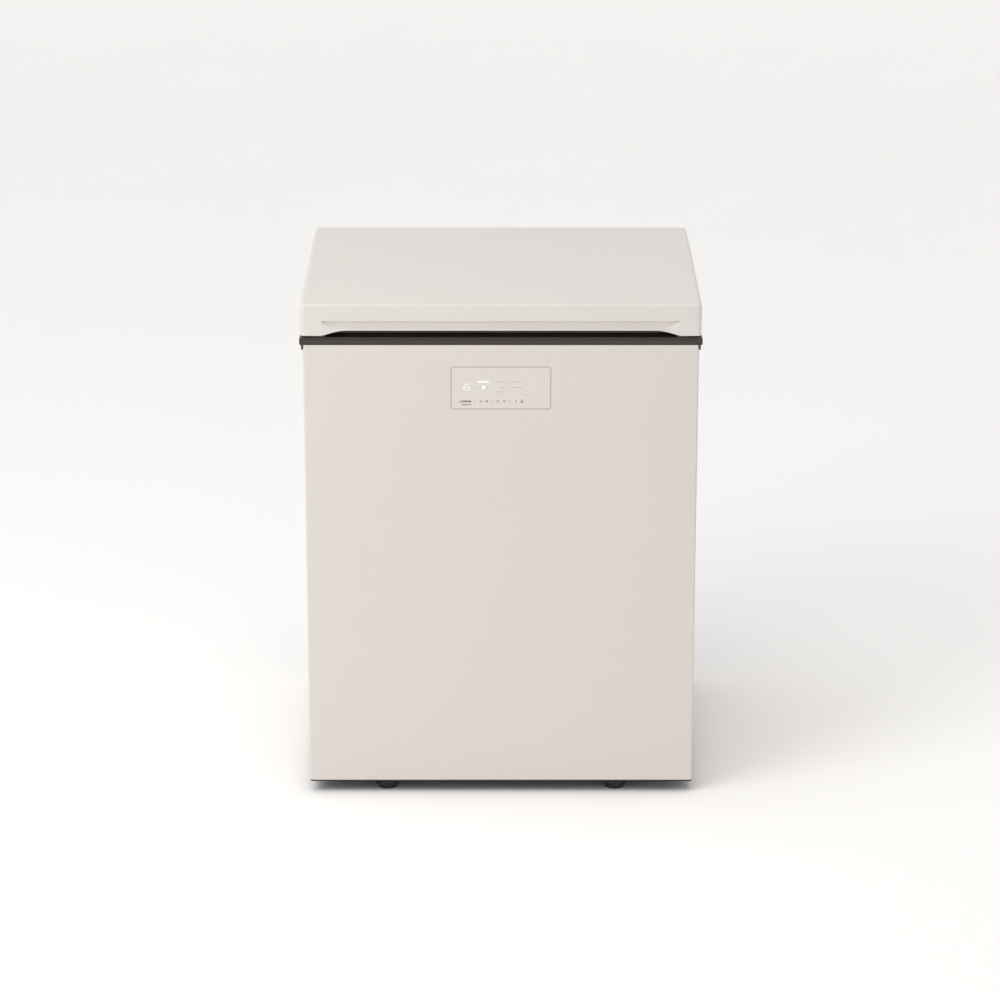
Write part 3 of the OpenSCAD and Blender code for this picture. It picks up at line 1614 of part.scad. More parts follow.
// Soft magnetic gasket under the lid's rim: a flat foot, a bellows and a rounded sealing bead
module lid_gasket() {
    x1 = lid_half - gasket_in;
    y0 = front_y + gasket_in;
    y1 = lid_y1 - gasket_in;
    corner_r = 18;
    foot_z = liner_z - 3;
    bead_z = deck_z + 5;
    levels = [[foot_z, liner_z, 0], [bead_z, foot_z, 2.5], [deck_z + seam, bead_z, 0.8]];
    color(rubber_grey)
    for (l = levels)
        translate([0, (y0 + y1) / 2, l[0]])
            linear_extrude(l[1] - l[0])
                difference() {
                    round_rect(2 * (x1 - l[2]), y1 - y0 - 2 * l[2], corner_r - l[2]);
                    round_rect(2 * (x1 - gasket_w + l[2]), y1 - y0 - 2 * (gasket_w - l[2]),
                        corner_r - gasket_w + l[2]);
                }
}

// Dark channel behind the front lip that the fingers go into, open below
module grip_insert() {
    half = scoop_w / 2 + shell_t;
    y0 = wall_back + seam;
    z1 = lid_z0 + pocket_h;
    color(black)
    difference() {
        block([-half, y0, liner_z], [half, insert_y1, z1]);
        block([-half + insert_t, y0 + insert_t, lid_z0],
            [half - insert_t, insert_y1 - insert_t, z1 - insert_t]);
        block([-half - 1, y0 - 1, lid_z0], [half + 1, y0 + 2 * insert_t, lid_z0 + lip_rise + 2]);
    }
}

cabinet_wrap();
back_panel();
base_pan();
compressor_base();
machine_bulkhead();
cabinet_foam();
tub();
top_trim();
lid_bumpers();
evaporator_coil();
display_window();
display_housing();
display_board();
compressor_shell();
compressor_feet();
compressor_grommets();
compressor_bolts();
terminal_cover();
discharge_pipe();
suction_pipe();
liquid_pipe();
filter_drier();
capillary_tube();
condenser_fins();
condenser_tube();
fan_shroud();
fan_motor();
fan_wheel();
control_box();
control_box_cover();
control_board();
machine_cover();
machine_cover_screws();
cord_gland();
mirror([1, 0, 0]) hinge_bracket();  // hinge_bracket_left
hinge_bracket();  // hinge_bracket_right
hinge_bracket_screws();
hinge_anchor_plates();
hinge_pins();
mirror([1, 0, 0]) hinge_spring();  // hinge_spring_left
hinge_spring();  // hinge_spring_right
mirror([1, 0, 0]) hinge_plunger();  // hinge_plunger_left
hinge_plunger();  // hinge_plunger_right
foot_bushes();
mirror([1, 0, 0]) foot_sole();  // foot_sole_left
foot_sole();  // foot_sole_right
mirror([1, 0, 0]) foot_knob();  // foot_knob_left
foot_knob();  // foot_knob_right
roller_axles();
mirror([1, 0, 0]) roller();  // roller_left
roller();  // roller_right
lid_shell();
lid_liner();
lid_foam();
lid_gasket();
grip_insert();
mirror([1, 0, 0]) hinge_arm();  // hinge_arm_left
hinge_arm();  // hinge_arm_right
lid_screws();
lid_anchor_plates();
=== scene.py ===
import bpy
import numpy as np
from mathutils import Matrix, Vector


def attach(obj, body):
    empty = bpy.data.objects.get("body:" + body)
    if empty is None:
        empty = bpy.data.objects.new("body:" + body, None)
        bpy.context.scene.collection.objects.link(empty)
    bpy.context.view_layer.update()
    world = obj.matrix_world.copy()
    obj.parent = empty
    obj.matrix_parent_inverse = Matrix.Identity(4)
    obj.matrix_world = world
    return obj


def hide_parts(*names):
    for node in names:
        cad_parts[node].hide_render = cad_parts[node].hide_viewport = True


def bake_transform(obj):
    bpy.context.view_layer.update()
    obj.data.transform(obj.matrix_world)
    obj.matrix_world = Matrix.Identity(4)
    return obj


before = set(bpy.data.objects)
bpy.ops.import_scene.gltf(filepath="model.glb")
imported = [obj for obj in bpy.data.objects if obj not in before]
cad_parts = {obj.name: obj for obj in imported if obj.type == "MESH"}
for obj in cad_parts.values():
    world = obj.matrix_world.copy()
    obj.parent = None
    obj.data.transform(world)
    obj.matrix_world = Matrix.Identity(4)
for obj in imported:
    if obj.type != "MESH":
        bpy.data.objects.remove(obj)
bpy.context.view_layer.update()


# ---- Studio ----
# A pale floor that curves up all round into a low wall, in an even tent of white light, with a broad
# light from above and one large soft lamp at the upper left. The camera stands 6 m in front.

def cove_form():
    """Rings about the Z axis, in metres: flat out to flat_r, a quarter circle of bend_r upwards, and a
    wall up to wall_z, all of it sunk by a hair below the feet."""
    flat_r, bend_r, wall_z, sunk = 8, 4, 6, 0.0002
    bend = np.radians(np.linspace(0, 90, 13))
    reach = np.concatenate([[0.02, 2, 5], flat_r + bend_r * np.sin(bend), [flat_r + bend_r]])[:, None]
    height = np.concatenate([[0, 0, 0], bend_r * (1 - np.cos(bend)), [wall_z]])[:, None] - sunk
    turn = np.linspace(0, 2 * np.pi, 96, endpoint=False)
    return np.stack([reach * np.cos(turn), reach * np.sin(turn), height * np.ones_like(turn)], -1)


cove_points = cove_form()
spot = np.arange(cove_points[..., 0].size).reshape(cove_points.shape[:2])
spot = np.hstack([spot, spot[:, :1]])
bands = np.stack([spot[:-1, :-1], spot[1:, :-1], spot[1:, 1:], spot[:-1, 1:]], -1).reshape(-1, 4)
floor_mesh = bpy.data.meshes.new("studio_floor")
floor_mesh.from_pydata(cove_points.reshape(-1, 3).tolist(), [], bands.tolist() + [spot[0, :-1].tolist()])
floor_mesh.polygons.foreach_set("use_smooth", np.ones(len(floor_mesh.polygons), bool))
floor = bpy.data.objects.new("studio_floor", floor_mesh)
bpy.context.scene.collection.objects.link(floor)

tent = bpy.data.worlds.new("studio_tent")
tent.use_nodes = True
tent.node_tree.nodes["Background"].inputs["Color"].default_value = (1.0, 0.985, 0.97, 1)
tent.node_tree.nodes["Background"].inputs["Strength"].default_value = 0.5
bpy.context.scene.world = tent
bpy.context.scene.view_settings.view_transform = "Standard"


def studio_lamp(name, kind, place, aim, **settings):
    """A lamp of that kind at place, turned so that it shines at aim."""
    lamp = bpy.data.objects.new(name, bpy.data.lights.new(name, kind))
    for setting, value in settings.items():
        setattr(lamp.data, setting, value)
    lamp.location = place
    lamp.rotation_euler = (Vector(aim) - Vector(place)).to_track_quat("-Z", "Y").to_euler()
    bpy.context.scene.collection.objects.link(lamp)


studio_lamp("key_lamp", "AREA", (-2.3, -2.1, 2.7), (0, 0, 0.6), size=2.0, energy=48)
studio_lamp("top_light", "SUN", (-0.3, -0.3, 3), (0, 0, 0), energy=1.2, angle=1.0)

camera = bpy.data.objects.new("photo_camera", bpy.data.cameras.new("photo_camera"))
camera.data.sensor_width, camera.data.lens = 36, 129.37
camera.data.clip_end = 200
camera.location = (-0.0015, -6.0, 2.3672)
camera.rotation_euler = (np.radians(90 - 17.859), 0, 0)
bpy.context.scene.collection.objects.link(camera)
bpy.context.scene.camera = camera


# ---- Painted cabinet sheet ----
# One sheet of steel, bent round the front and both sides and coated in warm satin greige before it
# is bent. The coat shows a very fine orange peel, and its tone drifts a little over the panel.

class Wire:
    """One shader socket. Arithmetic on it adds Math nodes, or Vector Math nodes for a vector."""

    def __init__(self, finish, socket):
        self.finish, self.socket = finish, socket

    def math(self, operation, first, second):
        """Adds the node for one operation on two values, of which one may be a plain number."""
        vector = any(isinstance(v, Wire) and v.socket.type == "VECTOR" for v in (first, second))
        kind = "ShaderNodeVectorMath" if vector else "ShaderNodeMath"
        return self.finish.node(kind, {"operation": operation}, {0: first, 1: second})

    def __add__(self, other):
        return self.math("ADD", self, other)

    def __radd__(self, other):
        return self.math("ADD", other, self)

    def __sub__(self, other):
        return self.math("SUBTRACT", self, other)

    def __rsub__(self, other):
        return self.math("SUBTRACT", other, self)

    def __mul__(self, other):
        return self.math("MULTIPLY", self, other)

    def __rmul__(self, other):
        return self.math("MULTIPLY", other, self)

    def __gt__(self, other):
        return self.math("GREATER_THAN", self, other)

    def __lt__(self, other):
        return self.math("LESS_THAN", self, other)


class Finish:
    """One finish of the refrigerator: its material, its shader and the nodes that vary it."""

    def __init__(self, name, **constants):
        self.material = bpy.data.materials.new(name)
        self.material.use_nodes = True
        self.tree = self.material.node_tree
        self.shader = self.tree.nodes["Principled BSDF"]
        for socket, value in constants.items():
            self.shader.inputs[socket.replace("_", " ")].default_value = value
        self.place = self.node("ShaderNodeTexCoord", {}, {}, "Object")

    def node(self, kind, settings, values, out=0):
        """Adds a node, makes its settings, then fills or links its sockets, and gives one output."""
        made = self.tree.nodes.new(kind)
        for name, value in settings.items():
            setattr(made, name, value)
        for name, value in values.items():
            if isinstance(value, Wire):
                self.tree.links.new(value.socket, made.inputs[name])
            else:
                made.inputs[name].default_value = value
        return Wire(self, made.outputs[out])

    def noise(self, size, detail=2.0, rough=0.5, place=None):
        """Soft noise from 0 to 1 whose largest features are about size metres across."""
        return self.node("ShaderNodeTexNoise", {}, {"Vector": place or self.place, "Scale": 1 / size,
            "Detail": detail, "Roughness": rough}, "Fac")

    def mix(self, share, first, second):
        """Colour that goes from first to second as share goes from 0 to 1."""
        return self.node("ShaderNodeMix", {"data_type": "RGBA"}, {0: share, 6: first, 7: second}, 2)

    def stretch(self, x, y, z):
        """The place with each axis scaled, for a grain that runs along the smallest number."""
        return self.node("ShaderNodeMapping", {}, {"Vector": self.place, "Scale": (x, y, z)})

    def bumps(self, height, depth):
        """Height from 0 to 1 pressed into the surface, depth metres deep."""
        self.feed("Normal", self.node("ShaderNodeBump", {}, {"Height": height, "Distance": depth,
            "Strength": 1.0}))

    def feed(self, socket, wire):
        """Links a value to one of the shader's sockets."""
        self.tree.links.new(wire.socket, self.shader.inputs[socket])


def tint(red, green, blue, share=1.0):
    """A colour as a screen shows it, 0 to 255, made linear, times share."""
    screen = np.array([red, green, blue]) / 255
    linear = np.where(screen > 0.04045, ((screen + 0.055) / 1.055) ** 2.4, screen / 12.92) * share
    return (*linear.tolist(), 1.0)


# Faces of a CAD node meet as loose triangles. This welds them for show, rounds their shading and
# keeps every edge sharp that turns by more than 30 degrees. The node's own mesh isn't touched.
round_shading = bpy.data.node_groups.new("round_shading", "GeometryNodeTree")
for way in ("INPUT", "OUTPUT"):
    round_shading.interface.new_socket("Geometry", in_out=way, socket_type="NodeSocketGeometry")
steps = [round_shading.nodes.new(kind) for kind in ("NodeGroupInput", "GeometryNodeMergeByDistance",
    "GeometryNodeSetShadeSmooth", "GeometryNodeSetShadeSmooth", "NodeGroupOutput")]
steps[1].inputs["Distance"].default_value = 1e-6
steps[3].domain = "EDGE"
steps[3].inputs["Shade Smooth"].default_value = False
for before, after in zip(steps, steps[1:]):
    round_shading.links.new(before.outputs[0], after.inputs[0])
turned = round_shading.nodes.new("ShaderNodeMath")
turned.operation = "GREATER_THAN"
turned.inputs[1].default_value = np.radians(30)
edge_turn = round_shading.nodes.new("GeometryNodeInputMeshEdgeAngle")
round_shading.links.new(edge_turn.outputs["Unsigned Angle"], turned.inputs[0])
round_shading.links.new(turned.outputs[0], steps[3].inputs["Selection"])


def dress(finish, *names):
    """Puts a finish on CAD nodes, and shades their round faces as round."""
    for name in names:
        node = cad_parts[name]
        node.data.materials[0] = finish.material
        node.modifiers.new("round_shading", "NODES").node_group = round_shading


def satin_paint(name, colour, peel, gloss):
    """Satin coat: a broad drift of tone, fine grain in its gloss, and orange peel of size peel."""
    paint = Finish(name, IOR=1.5, Coat_Weight=0.05, Coat_Roughness=0.35)
    drift = paint.noise(0.45, 2.0)
    fine = paint.noise(0.0007, 1.0)
    paint.feed("Base Color",
        paint.mix(drift * 0.7 + fine * 0.3, tint(*colour, 0.975), tint(*colour, 1.02)))
    paint.feed("Roughness", gloss + fine * 0.05 + paint.noise(0.12) * 0.04)
    paint.bumps(paint.noise(peel, 1.5) * 0.8 + fine * 0.2, 0.00004)
    return paint


cabinet_paint = satin_paint("cabinet_paint", (218, 212, 206), 0.0022, 0.36)
dress(cabinet_paint, "cabinet_wrap")


# ---- Back panel, machine compartment and rear cover ----
# Plain zinc-coated sheet, pressed and screwed, with three ribs pressed out of the back panel. The
# zinc freezes in crystals a centimetre or two across, each lighter or darker, duller or brighter.

def zinc_coat(name, crystal, shade=(186, 189, 191)):
    """Hot-dip zinc: cells of size crystal with their own tone and gloss, and faint rolling lines."""
    zinc = Finish(name, Metallic=0.85)
    cell = zinc.node("ShaderNodeTexVoronoi", {}, {"Vector": zinc.place, "Scale": 1 / crystal}, "Color")
    tone = zinc.node("ShaderNodeSeparateColor", {}, {"Color": cell}, 0)
    lines = zinc.noise(0.02, 3.0, place=zinc.stretch(0.25, 1, 6))
    zinc.feed("Base Color", zinc.mix(tone * 0.7 + lines * 0.3, tint(*shade, 0.8), tint(*shade, 1.12)))
    zinc.feed("Roughness", 0.34 + tone * 0.14 + lines * 0.08)
    zinc.bumps(tone * 0.5 + zinc.noise(0.003) * 0.5, 0.00003)
    return zinc


def closed_form(name, finish, grids, sharp=35):
    """Each grid is rings of points in metres. Neighbouring rings are joined by two triangles for each
    pair of neighbours, a ring's last point joins its first, points that meet become one, and a form
    whose signed volume is negative is turned the right way out."""
    points, faces, count = [], [], 0
    for grid in grids:
        index = np.arange(grid.shape[0] * grid.shape[1]).reshape(grid.shape[:2])
        index = np.hstack([index, index[:, :1]])
        a, b, c, d = index[:-1, :-1], index[:-1, 1:], index[1:, 1:], index[1:, :-1]
        tri = np.concatenate([np.stack(corner, -1).reshape(-1, 3) for corner in ((a, b, c), (a, c, d))])
        flat = grid.reshape(-1, 3)
        at = flat[tri] - flat.mean(0)
        if np.einsum("ij,ij->", at[:, 0], np.cross(at[:, 1], at[:, 2])) < 0:
            tri = tri[:, ::-1]
        points.append(flat)
        faces.append(tri + count)
        count += len(flat)
    points, where = np.unique(np.round(np.concatenate(points), 7), axis=0, return_inverse=True)
    faces = where.ravel()[np.concatenate(faces)]
    faces = faces[(faces != np.roll(faces, 1, axis=1)).all(1)]
    mesh = bpy.data.meshes.new(name)
    mesh.from_pydata(points.tolist(), [], faces.tolist())
    mesh.polygons.foreach_set("use_smooth", np.ones(len(mesh.polygons), bool))
    mesh.set_sharp_from_angle(angle=np.radians(sharp))
    mesh.materials.append(finish.material)
    piece = bpy.data.objects.new(name, mesh)
    bpy.context.scene.collection.objects.link(piece)
    return piece


def pressed_back_form():
    """Planes across x, each a closed loop up the outer face and down the inner one, sheet_t further
    in. Three ribs stand out by rib_out. A rib is flat in the middle, eases down at its upper and lower
    flanks over flank_l, and runs out over run_l at both ends."""
    rib_z = np.array([350, 460, 570.0])
    half_w, outer_y, sheet_t = 326, 257, 0.8
    rib_out, rib_half_l, rib_half_h, run_l, flank_l = 2.5, 292, 12, 34, 8
    ends = np.linspace(256, 294, 20)
    across = np.concatenate([[-half_w], -ends[::-1], [-128, 0, 128], ends, [half_w]])[:, None, None]
    rib_rows = (rib_z[:, None] + np.linspace(-13, 13, 27)).ravel()
    up = np.concatenate([[240.8], rib_rows, [680, 794]])[None, :, None]
    run_out = np.clip((rib_half_l - abs(across)) / run_l, 0, 1)
    flank = np.clip((rib_half_h - abs(up - rib_z)) / flank_l, 0, 1).max(-1, keepdims=True)
    swell = rib_out * run_out ** 2 * (3 - 2 * run_out) * flank ** 2 * (3 - 2 * flank)
    sides = [np.concatenate([across + 0 * swell, outer_y - t + swell, up + 0 * swell], -1)
        for t in (0, sheet_t)]
    rings = np.concatenate([sides[0], sides[1][:, ::-1]], 1)
    tips = [np.repeat(rings[i].mean(0)[None, None], rings.shape[1], 1) for i in (0, -1)]
    return np.concatenate([tips[0], rings, tips[1]]) / 1000


zinc_sheet = zinc_coat("zinc_sheet", 0.014)
dress(zinc_sheet, "machine_cover", "machine_bulkhead", "control_box_cover")
pressed_back = closed_form("pressed_back", zinc_sheet, [pressed_back_form()])
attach(pressed_back, "root")
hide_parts("back_panel")


# ---- Base pan ----
# Pressed steel tray under the cabinet, dipped in black enamel. Its edge shows as a thin dark line
# below the painted sheet.

def black_enamel(name, shade, gloss, grit):
    """Sprayed black coat: uneven gloss, a fine grit of size grit, and dust on what faces up."""
    coat = Finish(name, IOR=1.5)
    speck = coat.noise(grit, 2.0)
    cloud = coat.noise(0.05, 4.0)
    facing = coat.node("ShaderNodeNewGeometry", {}, {}, "Normal")
    up = coat.node("ShaderNodeSeparateXYZ", {}, {"Vector": facing}, 2)
    dust = (up > 0.7) * cloud * 0.25
    coat.feed("Base Color", coat.mix(dust, tint(*shade), tint(96, 92, 88)))
    coat.feed("Roughness", gloss + speck * 0.12 + cloud * 0.08)
    coat.bumps(speck, 0.00005)
    return coat


pan_enamel = black_enamel("pan_enamel", (40, 35, 32), 0.4, 0.0012)
dress(pan_enamel, "base_pan")


# ---- Compressor tray ----
# Thicker galvanised tray at the rear that carries the compressor, condenser and rollers. It takes
# more knocks than the panels, so its crystals are small and its gloss is dull.

tray_zinc = zinc_coat("tray_zinc", 0.006, (160, 163, 165))
dress(tray_zinc, "compressor_base")


# ---- Cabinet foam ----
# Stiff polyurethane foam, poured between tub and outer sheets. It fills every corner, sticks to all
# it touches, and is pale yellow with closed cells of about a millimetre.

def rigid_foam(name, shade):
    """Closed foam cells in two sizes, darker where the skin is thin."""
    foam = Finish(name, IOR=1.4)
    cell = foam.node("ShaderNodeTexVoronoi", {}, {"Vector": foam.place, "Scale": 700.0}, "Distance")
    cloud = foam.noise(0.04, 4.0)
    foam.feed("Base Color", foam.mix(cloud * 0.7 + cell * 0.3, tint(*shade, 0.82), tint(*shade, 1.05)))
    foam.feed("Roughness", 0.78 + cell * 0.15)
    foam.bumps(cell * 0.5 + foam.noise(0.012, 3.0) * 0.5, 0.0006)
    return foam


cabinet_foam_finish = rigid_foam("cabinet_foam_finish", (232, 212, 160))
dress(cabinet_foam_finish, "cabinet_foam")


# ---- Tub ----
# Deep-drawn aluminium liner with a step over the machine compartment. The sheet is rolled with a
# small pebble pattern that hides scratches, and it is brushed dull by handling.

tub_sheet = Finish("tub_sheet", Metallic=0.8)
pebble = tub_sheet.node("ShaderNodeTexVoronoi", {"feature": "SMOOTH_F1"}, {"Vector": tub_sheet.place,
    "Scale": 330.0, "Smoothness": 0.6}, "Distance")
rolled = tub_sheet.noise(0.006, 3.0, place=tub_sheet.stretch(0.2, 0.2, 3))
tub_sheet.feed("Base Color",
    tub_sheet.mix(rolled * 0.6 + pebble * 0.4, tint(196, 198, 199), tint(222, 223, 223)))
tub_sheet.feed("Roughness", 0.38 + rolled * 0.12)
tub_sheet.bumps(pebble, 0.00025)
dress(tub_sheet, "tub")


# ---- Top trim ----
# Moulded dark brown frame that closes the gap between tub and cabinet, with a bead that stands out
# at both sides. Its face is spark-eroded in the mould, so it has a fine even grain.

def moulded(name, shade, gloss, grain, depth=0.00004, spread=0.12):
    """Moulded plastic: one even grain from the mould, a faint flow pattern, and slow drift in tone."""
    plastic = Finish(name, IOR=1.48)
    fine = plastic.noise(grain, 2.0)
    flow = plastic.noise(0.09, 3.0)
    plastic.feed("Base Color",
        plastic.mix(flow * 0.6 + fine * 0.4, tint(*shade, 1 - spread), tint(*shade, 1 + spread)))
    plastic.feed("Roughness", gloss + fine * 0.1 + flow * 0.04)
    plastic.bumps(fine, depth)
    return plastic


trim_plastic = moulded("trim_plastic", (57, 49, 47), 0.38, 0.0008)
dress(trim_plastic, "top_trim")


# ---- Rear strip of the trim ----
# A thin dark strip pushed in under the trim's rear edge, which covers the foam above the back panel.
# Extruded in the trim's plastic, with rounded long edges.

def strip_form():
    """A rectangle 1.3 x 9.6 mm, its corners rounded by corner_r, carried straight across the back and
    closed at both ends by a ring without size."""
    corner_r, half_t, half_h, half_w = 0.4, 0.25, 4.4, 324.0
    turn = np.radians(np.arange(0, 360, 15) + 7.5)
    ring = np.stack([256.25 + np.sign(np.cos(turn)) * half_t + corner_r * np.cos(turn),
        799.1 + np.sign(np.sin(turn)) * half_h + corner_r * np.sin(turn)], -1)
    across = np.array([-half_w, -half_w, -300, 0, 300, half_w, half_w])
    size = np.array([0, 1, 1, 1, 1, 1, 0])[:, None, None]
    section = ring.mean(0) + (ring - ring.mean(0))[None] * size
    planes = np.broadcast_to(across[:, None, None], (len(across), len(turn), 1))
    return np.concatenate([planes, section], -1) / 1000


trim_strip = closed_form("rear_trim_strip", trim_plastic, [strip_form()])
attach(trim_strip, "root")


# ---- Lid bumpers ----
# Soft grey-brown rubber pads, moulded and pressed on the trim's four corners. The lid comes to rest
# on them.

def soft_rubber(name, shade, bloom):
    """Rubber: dull and finely grained, with a pale bloom in patches."""
    rubber = Finish(name, IOR=1.5)
    fine = rubber.noise(0.0009, 3.0)
    patch = rubber.noise(0.025, 4.0)
    rubber.feed("Base Color", rubber.mix(patch * bloom, tint(*shade), tint(150, 146, 142)))
    rubber.feed("Roughness", 0.62 + fine * 0.2)
    rubber.bumps(fine, 0.00008)
    return rubber


bumper_rubber = soft_rubber("bumper_rubber", (128, 116, 110), 0.2)
dress(bumper_rubber, "lid_bumpers")


# ---- Evaporator coil ----
# Aluminium tube wound round the tub's outside and buried in the foam. Drawn tube has lines along
# it and a skin of dull oxide.

def drawn_metal(name, shade, metal, gloss, oxide, patch=0.02):
    """Bare drawn or rolled metal: patches of oxide that dull and darken it, and fine scratches."""
    bare = Finish(name, Metallic=metal)
    cloud = bare.noise(patch, 5.0, 0.6)
    scratch = bare.noise(0.0012, 3.0)
    bare.feed("Base Color", bare.mix(cloud, tint(*shade), tint(*oxide)))
    bare.feed("Roughness", gloss + cloud * 0.18 + scratch * 0.08)
    bare.bumps(scratch, 0.00002)
    return bare


coil_aluminium = drawn_metal("coil_aluminium", (205, 206, 207), 0.9, 0.34, (168, 170, 172))
dress(coil_aluminium, "evaporator_coil")


# ---- Touch window ----
# A flush pane of clear plastic, painted behind in the cabinet's colour and set in a hole in the
# front sheet. It has no keys that move, and it is smoother and glossier than the paint round it.

pane = Finish("window_pane", IOR=1.5, Coat_Weight=0.6, Coat_Roughness=0.06)
pane_drift = pane.noise(0.06, 2.0)
pane.feed("Base Color", pane.mix(pane_drift, tint(218, 212, 206, 0.99), tint(219, 213, 207, 1.01)))
pane.feed("Roughness", 0.22 + pane.noise(0.004) * 0.05)
pane.bumps(pane.noise(0.03), 0.00002)
dress(pane, "display_window")


# ---- Marks on the touch window ----
# Printed and lit marks of the pane: a lit bowl, a lit bar and square, rows of faint bars, touch signs
# along the bottom and a fine border. All are generic, and stand out by the ink's thickness.

pane_y, ink_t, ink_sunk = -285.4, 0.05, 0.02


def stroke(path, width):
    """A flat stroke on the pane: the path's points (x, z) in mm moved half a width to each side along
    the path's normal, and given the ink's thickness. Both ends are closed by a ring without size."""
    path = np.array(path, float)
    ahead = np.gradient(path, axis=0)
    aside = np.stack([-ahead[:, 1], ahead[:, 0]], -1)
    aside = aside / np.linalg.norm(ahead, axis=1, keepdims=True) * width / 2
    left, right = path + aside, path - aside
    inner_y, outer_y = pane_y + ink_sunk, pane_y - ink_t
    ring = [np.stack([edge[:, 0], np.full(len(path), y), edge[:, 1]], -1)
        for edge, y in ((left, inner_y), (right, inner_y), (right, outer_y), (left, outer_y))]
    rings = np.stack(ring, 1)
    ends = [np.repeat(rings[i].mean(0)[None, None], 4, 1) for i in (0, -1)]
    return np.concatenate([ends[0], rings, ends[1]]) / 1000


def bar(x, z, length, height):
    """A level stroke whose middle is at x, z."""
    return stroke([(x - length / 2, z), (x, z), (x + length / 2, z)], height)


def arc_stroke(x, z, radius, start, end, width, squash=1.0):
    """Part of a circle, or of an ellipse where squash isn't 1, from start to end in degrees."""
    turn = np.radians(np.linspace(start, end, 25))
    return stroke(np.stack([x + radius * np.cos(turn), z + squash * radius * np.sin(turn)], -1), width)


def border_stroke(half_x, z0, z1, corner, width):
    """A rectangle with round corners, whose ends overlap a little in the middle of the top side."""
    turns = [np.radians(90 * quarter + np.linspace(0, 90, 9)) for quarter in (1, 2, 3, 4)]
    middles = [(x * (half_x - corner), z) for x, z in
        ((-1, z1 - corner), (-1, z0 + corner), (1, z0 + corner), (1, z1 - corner))]
    arcs = [np.stack([x + corner * np.cos(turn), z + corner * np.sin(turn)], -1)
        for turn, (x, z) in zip(turns, middles)]
    return stroke(np.concatenate([[(1, z1), (0, z1)], *arcs, [(0, z1), (-1, z1)]]), width)


def number(digit, x, z, high, width):
    """A 1 or a 2 drawn with strokes of a seven-part display: upper right and lower right for the 1,
    and top, upper right, middle, lower left and bottom for the 2."""
    half, up = high * 0.28, high / 2
    upper_right, lower_right = ((half, up), (half, 0)), ((half, 0), (half, -up))
    top, middle, bottom = ((-half, up), (half, up)), ((-half, 0), (half, 0)), ((half, -up), (-half, -up))
    lower_left = ((-half, -up), (-half, 0))
    parts = {1: (upper_right, lower_right), 2: (top, upper_right, middle, lower_left, bottom)}[digit]
    return [stroke([(x + x0, z + z0), (x + x1, z + z1)], width) for (x0, z0), (x1, z1) in parts]


def bars(x, z, lengths, height, gap=0.7):
    """A row of bars from x to the right: each starts where the last one ended, plus the gap."""
    starts = x + np.concatenate([[0], np.cumsum(np.array(lengths) + gap)[:-1]])
    return [bar(start + length / 2, z, length, height) for start, length in zip(starts, lengths)]


bowl_x, row_z, lamp_z, sign_z = -56.9, 731.0, 721.1, 697.6

lit = Finish("lit_marks", Base_Color=tint(255, 253, 250), Roughness=0.5, Emission_Strength=0.1)
lit.feed("Emission Color", lit.mix(lit.noise(0.004), tint(255, 252, 246), tint(255, 255, 252)))
lit_grids = [arc_stroke(bowl_x, 720.6, 4.9, 160, 380, 0.9, 0.8), bar(bowl_x, 722.0, 11.0, 0.8),
    *[stroke([(x - 0.5, 724.0), (x + 0.5, 726.2), (x - 0.5, 728.6)], 0.7)
        for x in (-59.6, bowl_x, -54.2)],
    *bars(-38.6, row_z, (3.4, 2.0, 5.2, 2.6, 3.2), 2.5, 0.5), bar(-28.7, lamp_z, 5.4, 5.4)]
lit_marks = closed_form("lit_marks", lit, lit_grids)
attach(lit_marks, "root")

faint = Finish("faint_print", Roughness=0.4)
faint.feed("Base Color", faint.mix(faint.noise(0.002), tint(188, 180, 174), tint(196, 188, 182)))
faint_rows = [(-38.2, lamp_z, (1.8, 2.4)), (-24.0, lamp_z, (2.4, 1.8)), (-7.6, row_z, (2.6, 3.0)),
    (0.6, row_z, (1.8, 1.4)), (7.6, row_z, (3.0,)), (-1.6, 721.4, (2.4, 3.8)),
    (-7.2, 714.0, (3.4, 2.2, 4.6, 2.8)), (19.8, row_z, (4.8, 3.2, 2.6)), (35.0, row_z, (2.4,)),
    (18.4, 721.6, (3.8, 2.6, 4.8, 3.0)), (36.0, 710.6, (2.2,))]
faint_grids = [piece for x, z, lengths in faint_rows for piece in bars(x, z, lengths, 1.7)]
faint_print = closed_form("faint_print", faint, faint_grids)
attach(faint_print, "root")

print_grey = Finish("sign_print", Roughness=0.42)
print_grey.feed("Base Color",
    print_grey.mix(print_grey.noise(0.001), tint(84, 78, 74), tint(98, 92, 88)))
sign_grids = [arc_stroke(-66.0, sign_z - 0.2, 1.9, 125, 415, 0.9),
    stroke([(-66.0, sign_z + 0.2), (-66.0, sign_z + 2.6)], 0.9),
    *bars(-62.6, sign_z, (2.8, 2.8, 2.2, 2.8), 3.0, 0.9),
    *bars(-64.4, sign_z - 5.6, (2.6, 1.6, 3.4), 1.7), *bars(-53.6, sign_z - 5.6, (1.8, 2.0), 1.7),
    bar(-32.8, sign_z, 4.4, 1.1), bar(-23.2, sign_z, 4.4, 1.1),
    stroke([(-23.2, sign_z - 2.2), (-23.2, sign_z + 2.2)], 1.1),
    stroke([(-7.2, sign_z - 1.7), (-4.8, sign_z + 1.9), (-2.4, sign_z - 1.7)], 1.1),
    stroke([(3.8, sign_z + 1.7), (6.2, sign_z - 1.9), (8.6, sign_z + 1.7)], 1.1),
    *number(1, 23.2, sign_z, 4.8, 1.0), *number(2, 34.6, sign_z, 4.8, 1.0)]
sign_grids += [stroke([(x, sign_z - 3.4), (x, sign_z + 3.4)], 0.4) for x in (-42.6, -14.8, 14.6)]
sign_grids.append(border_stroke(half_x=81.8, z0=685.2, z1=755.8, corner=4.2, width=0.24))
sign_print = closed_form("sign_print", print_grey, sign_grids)
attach(sign_print, "root")


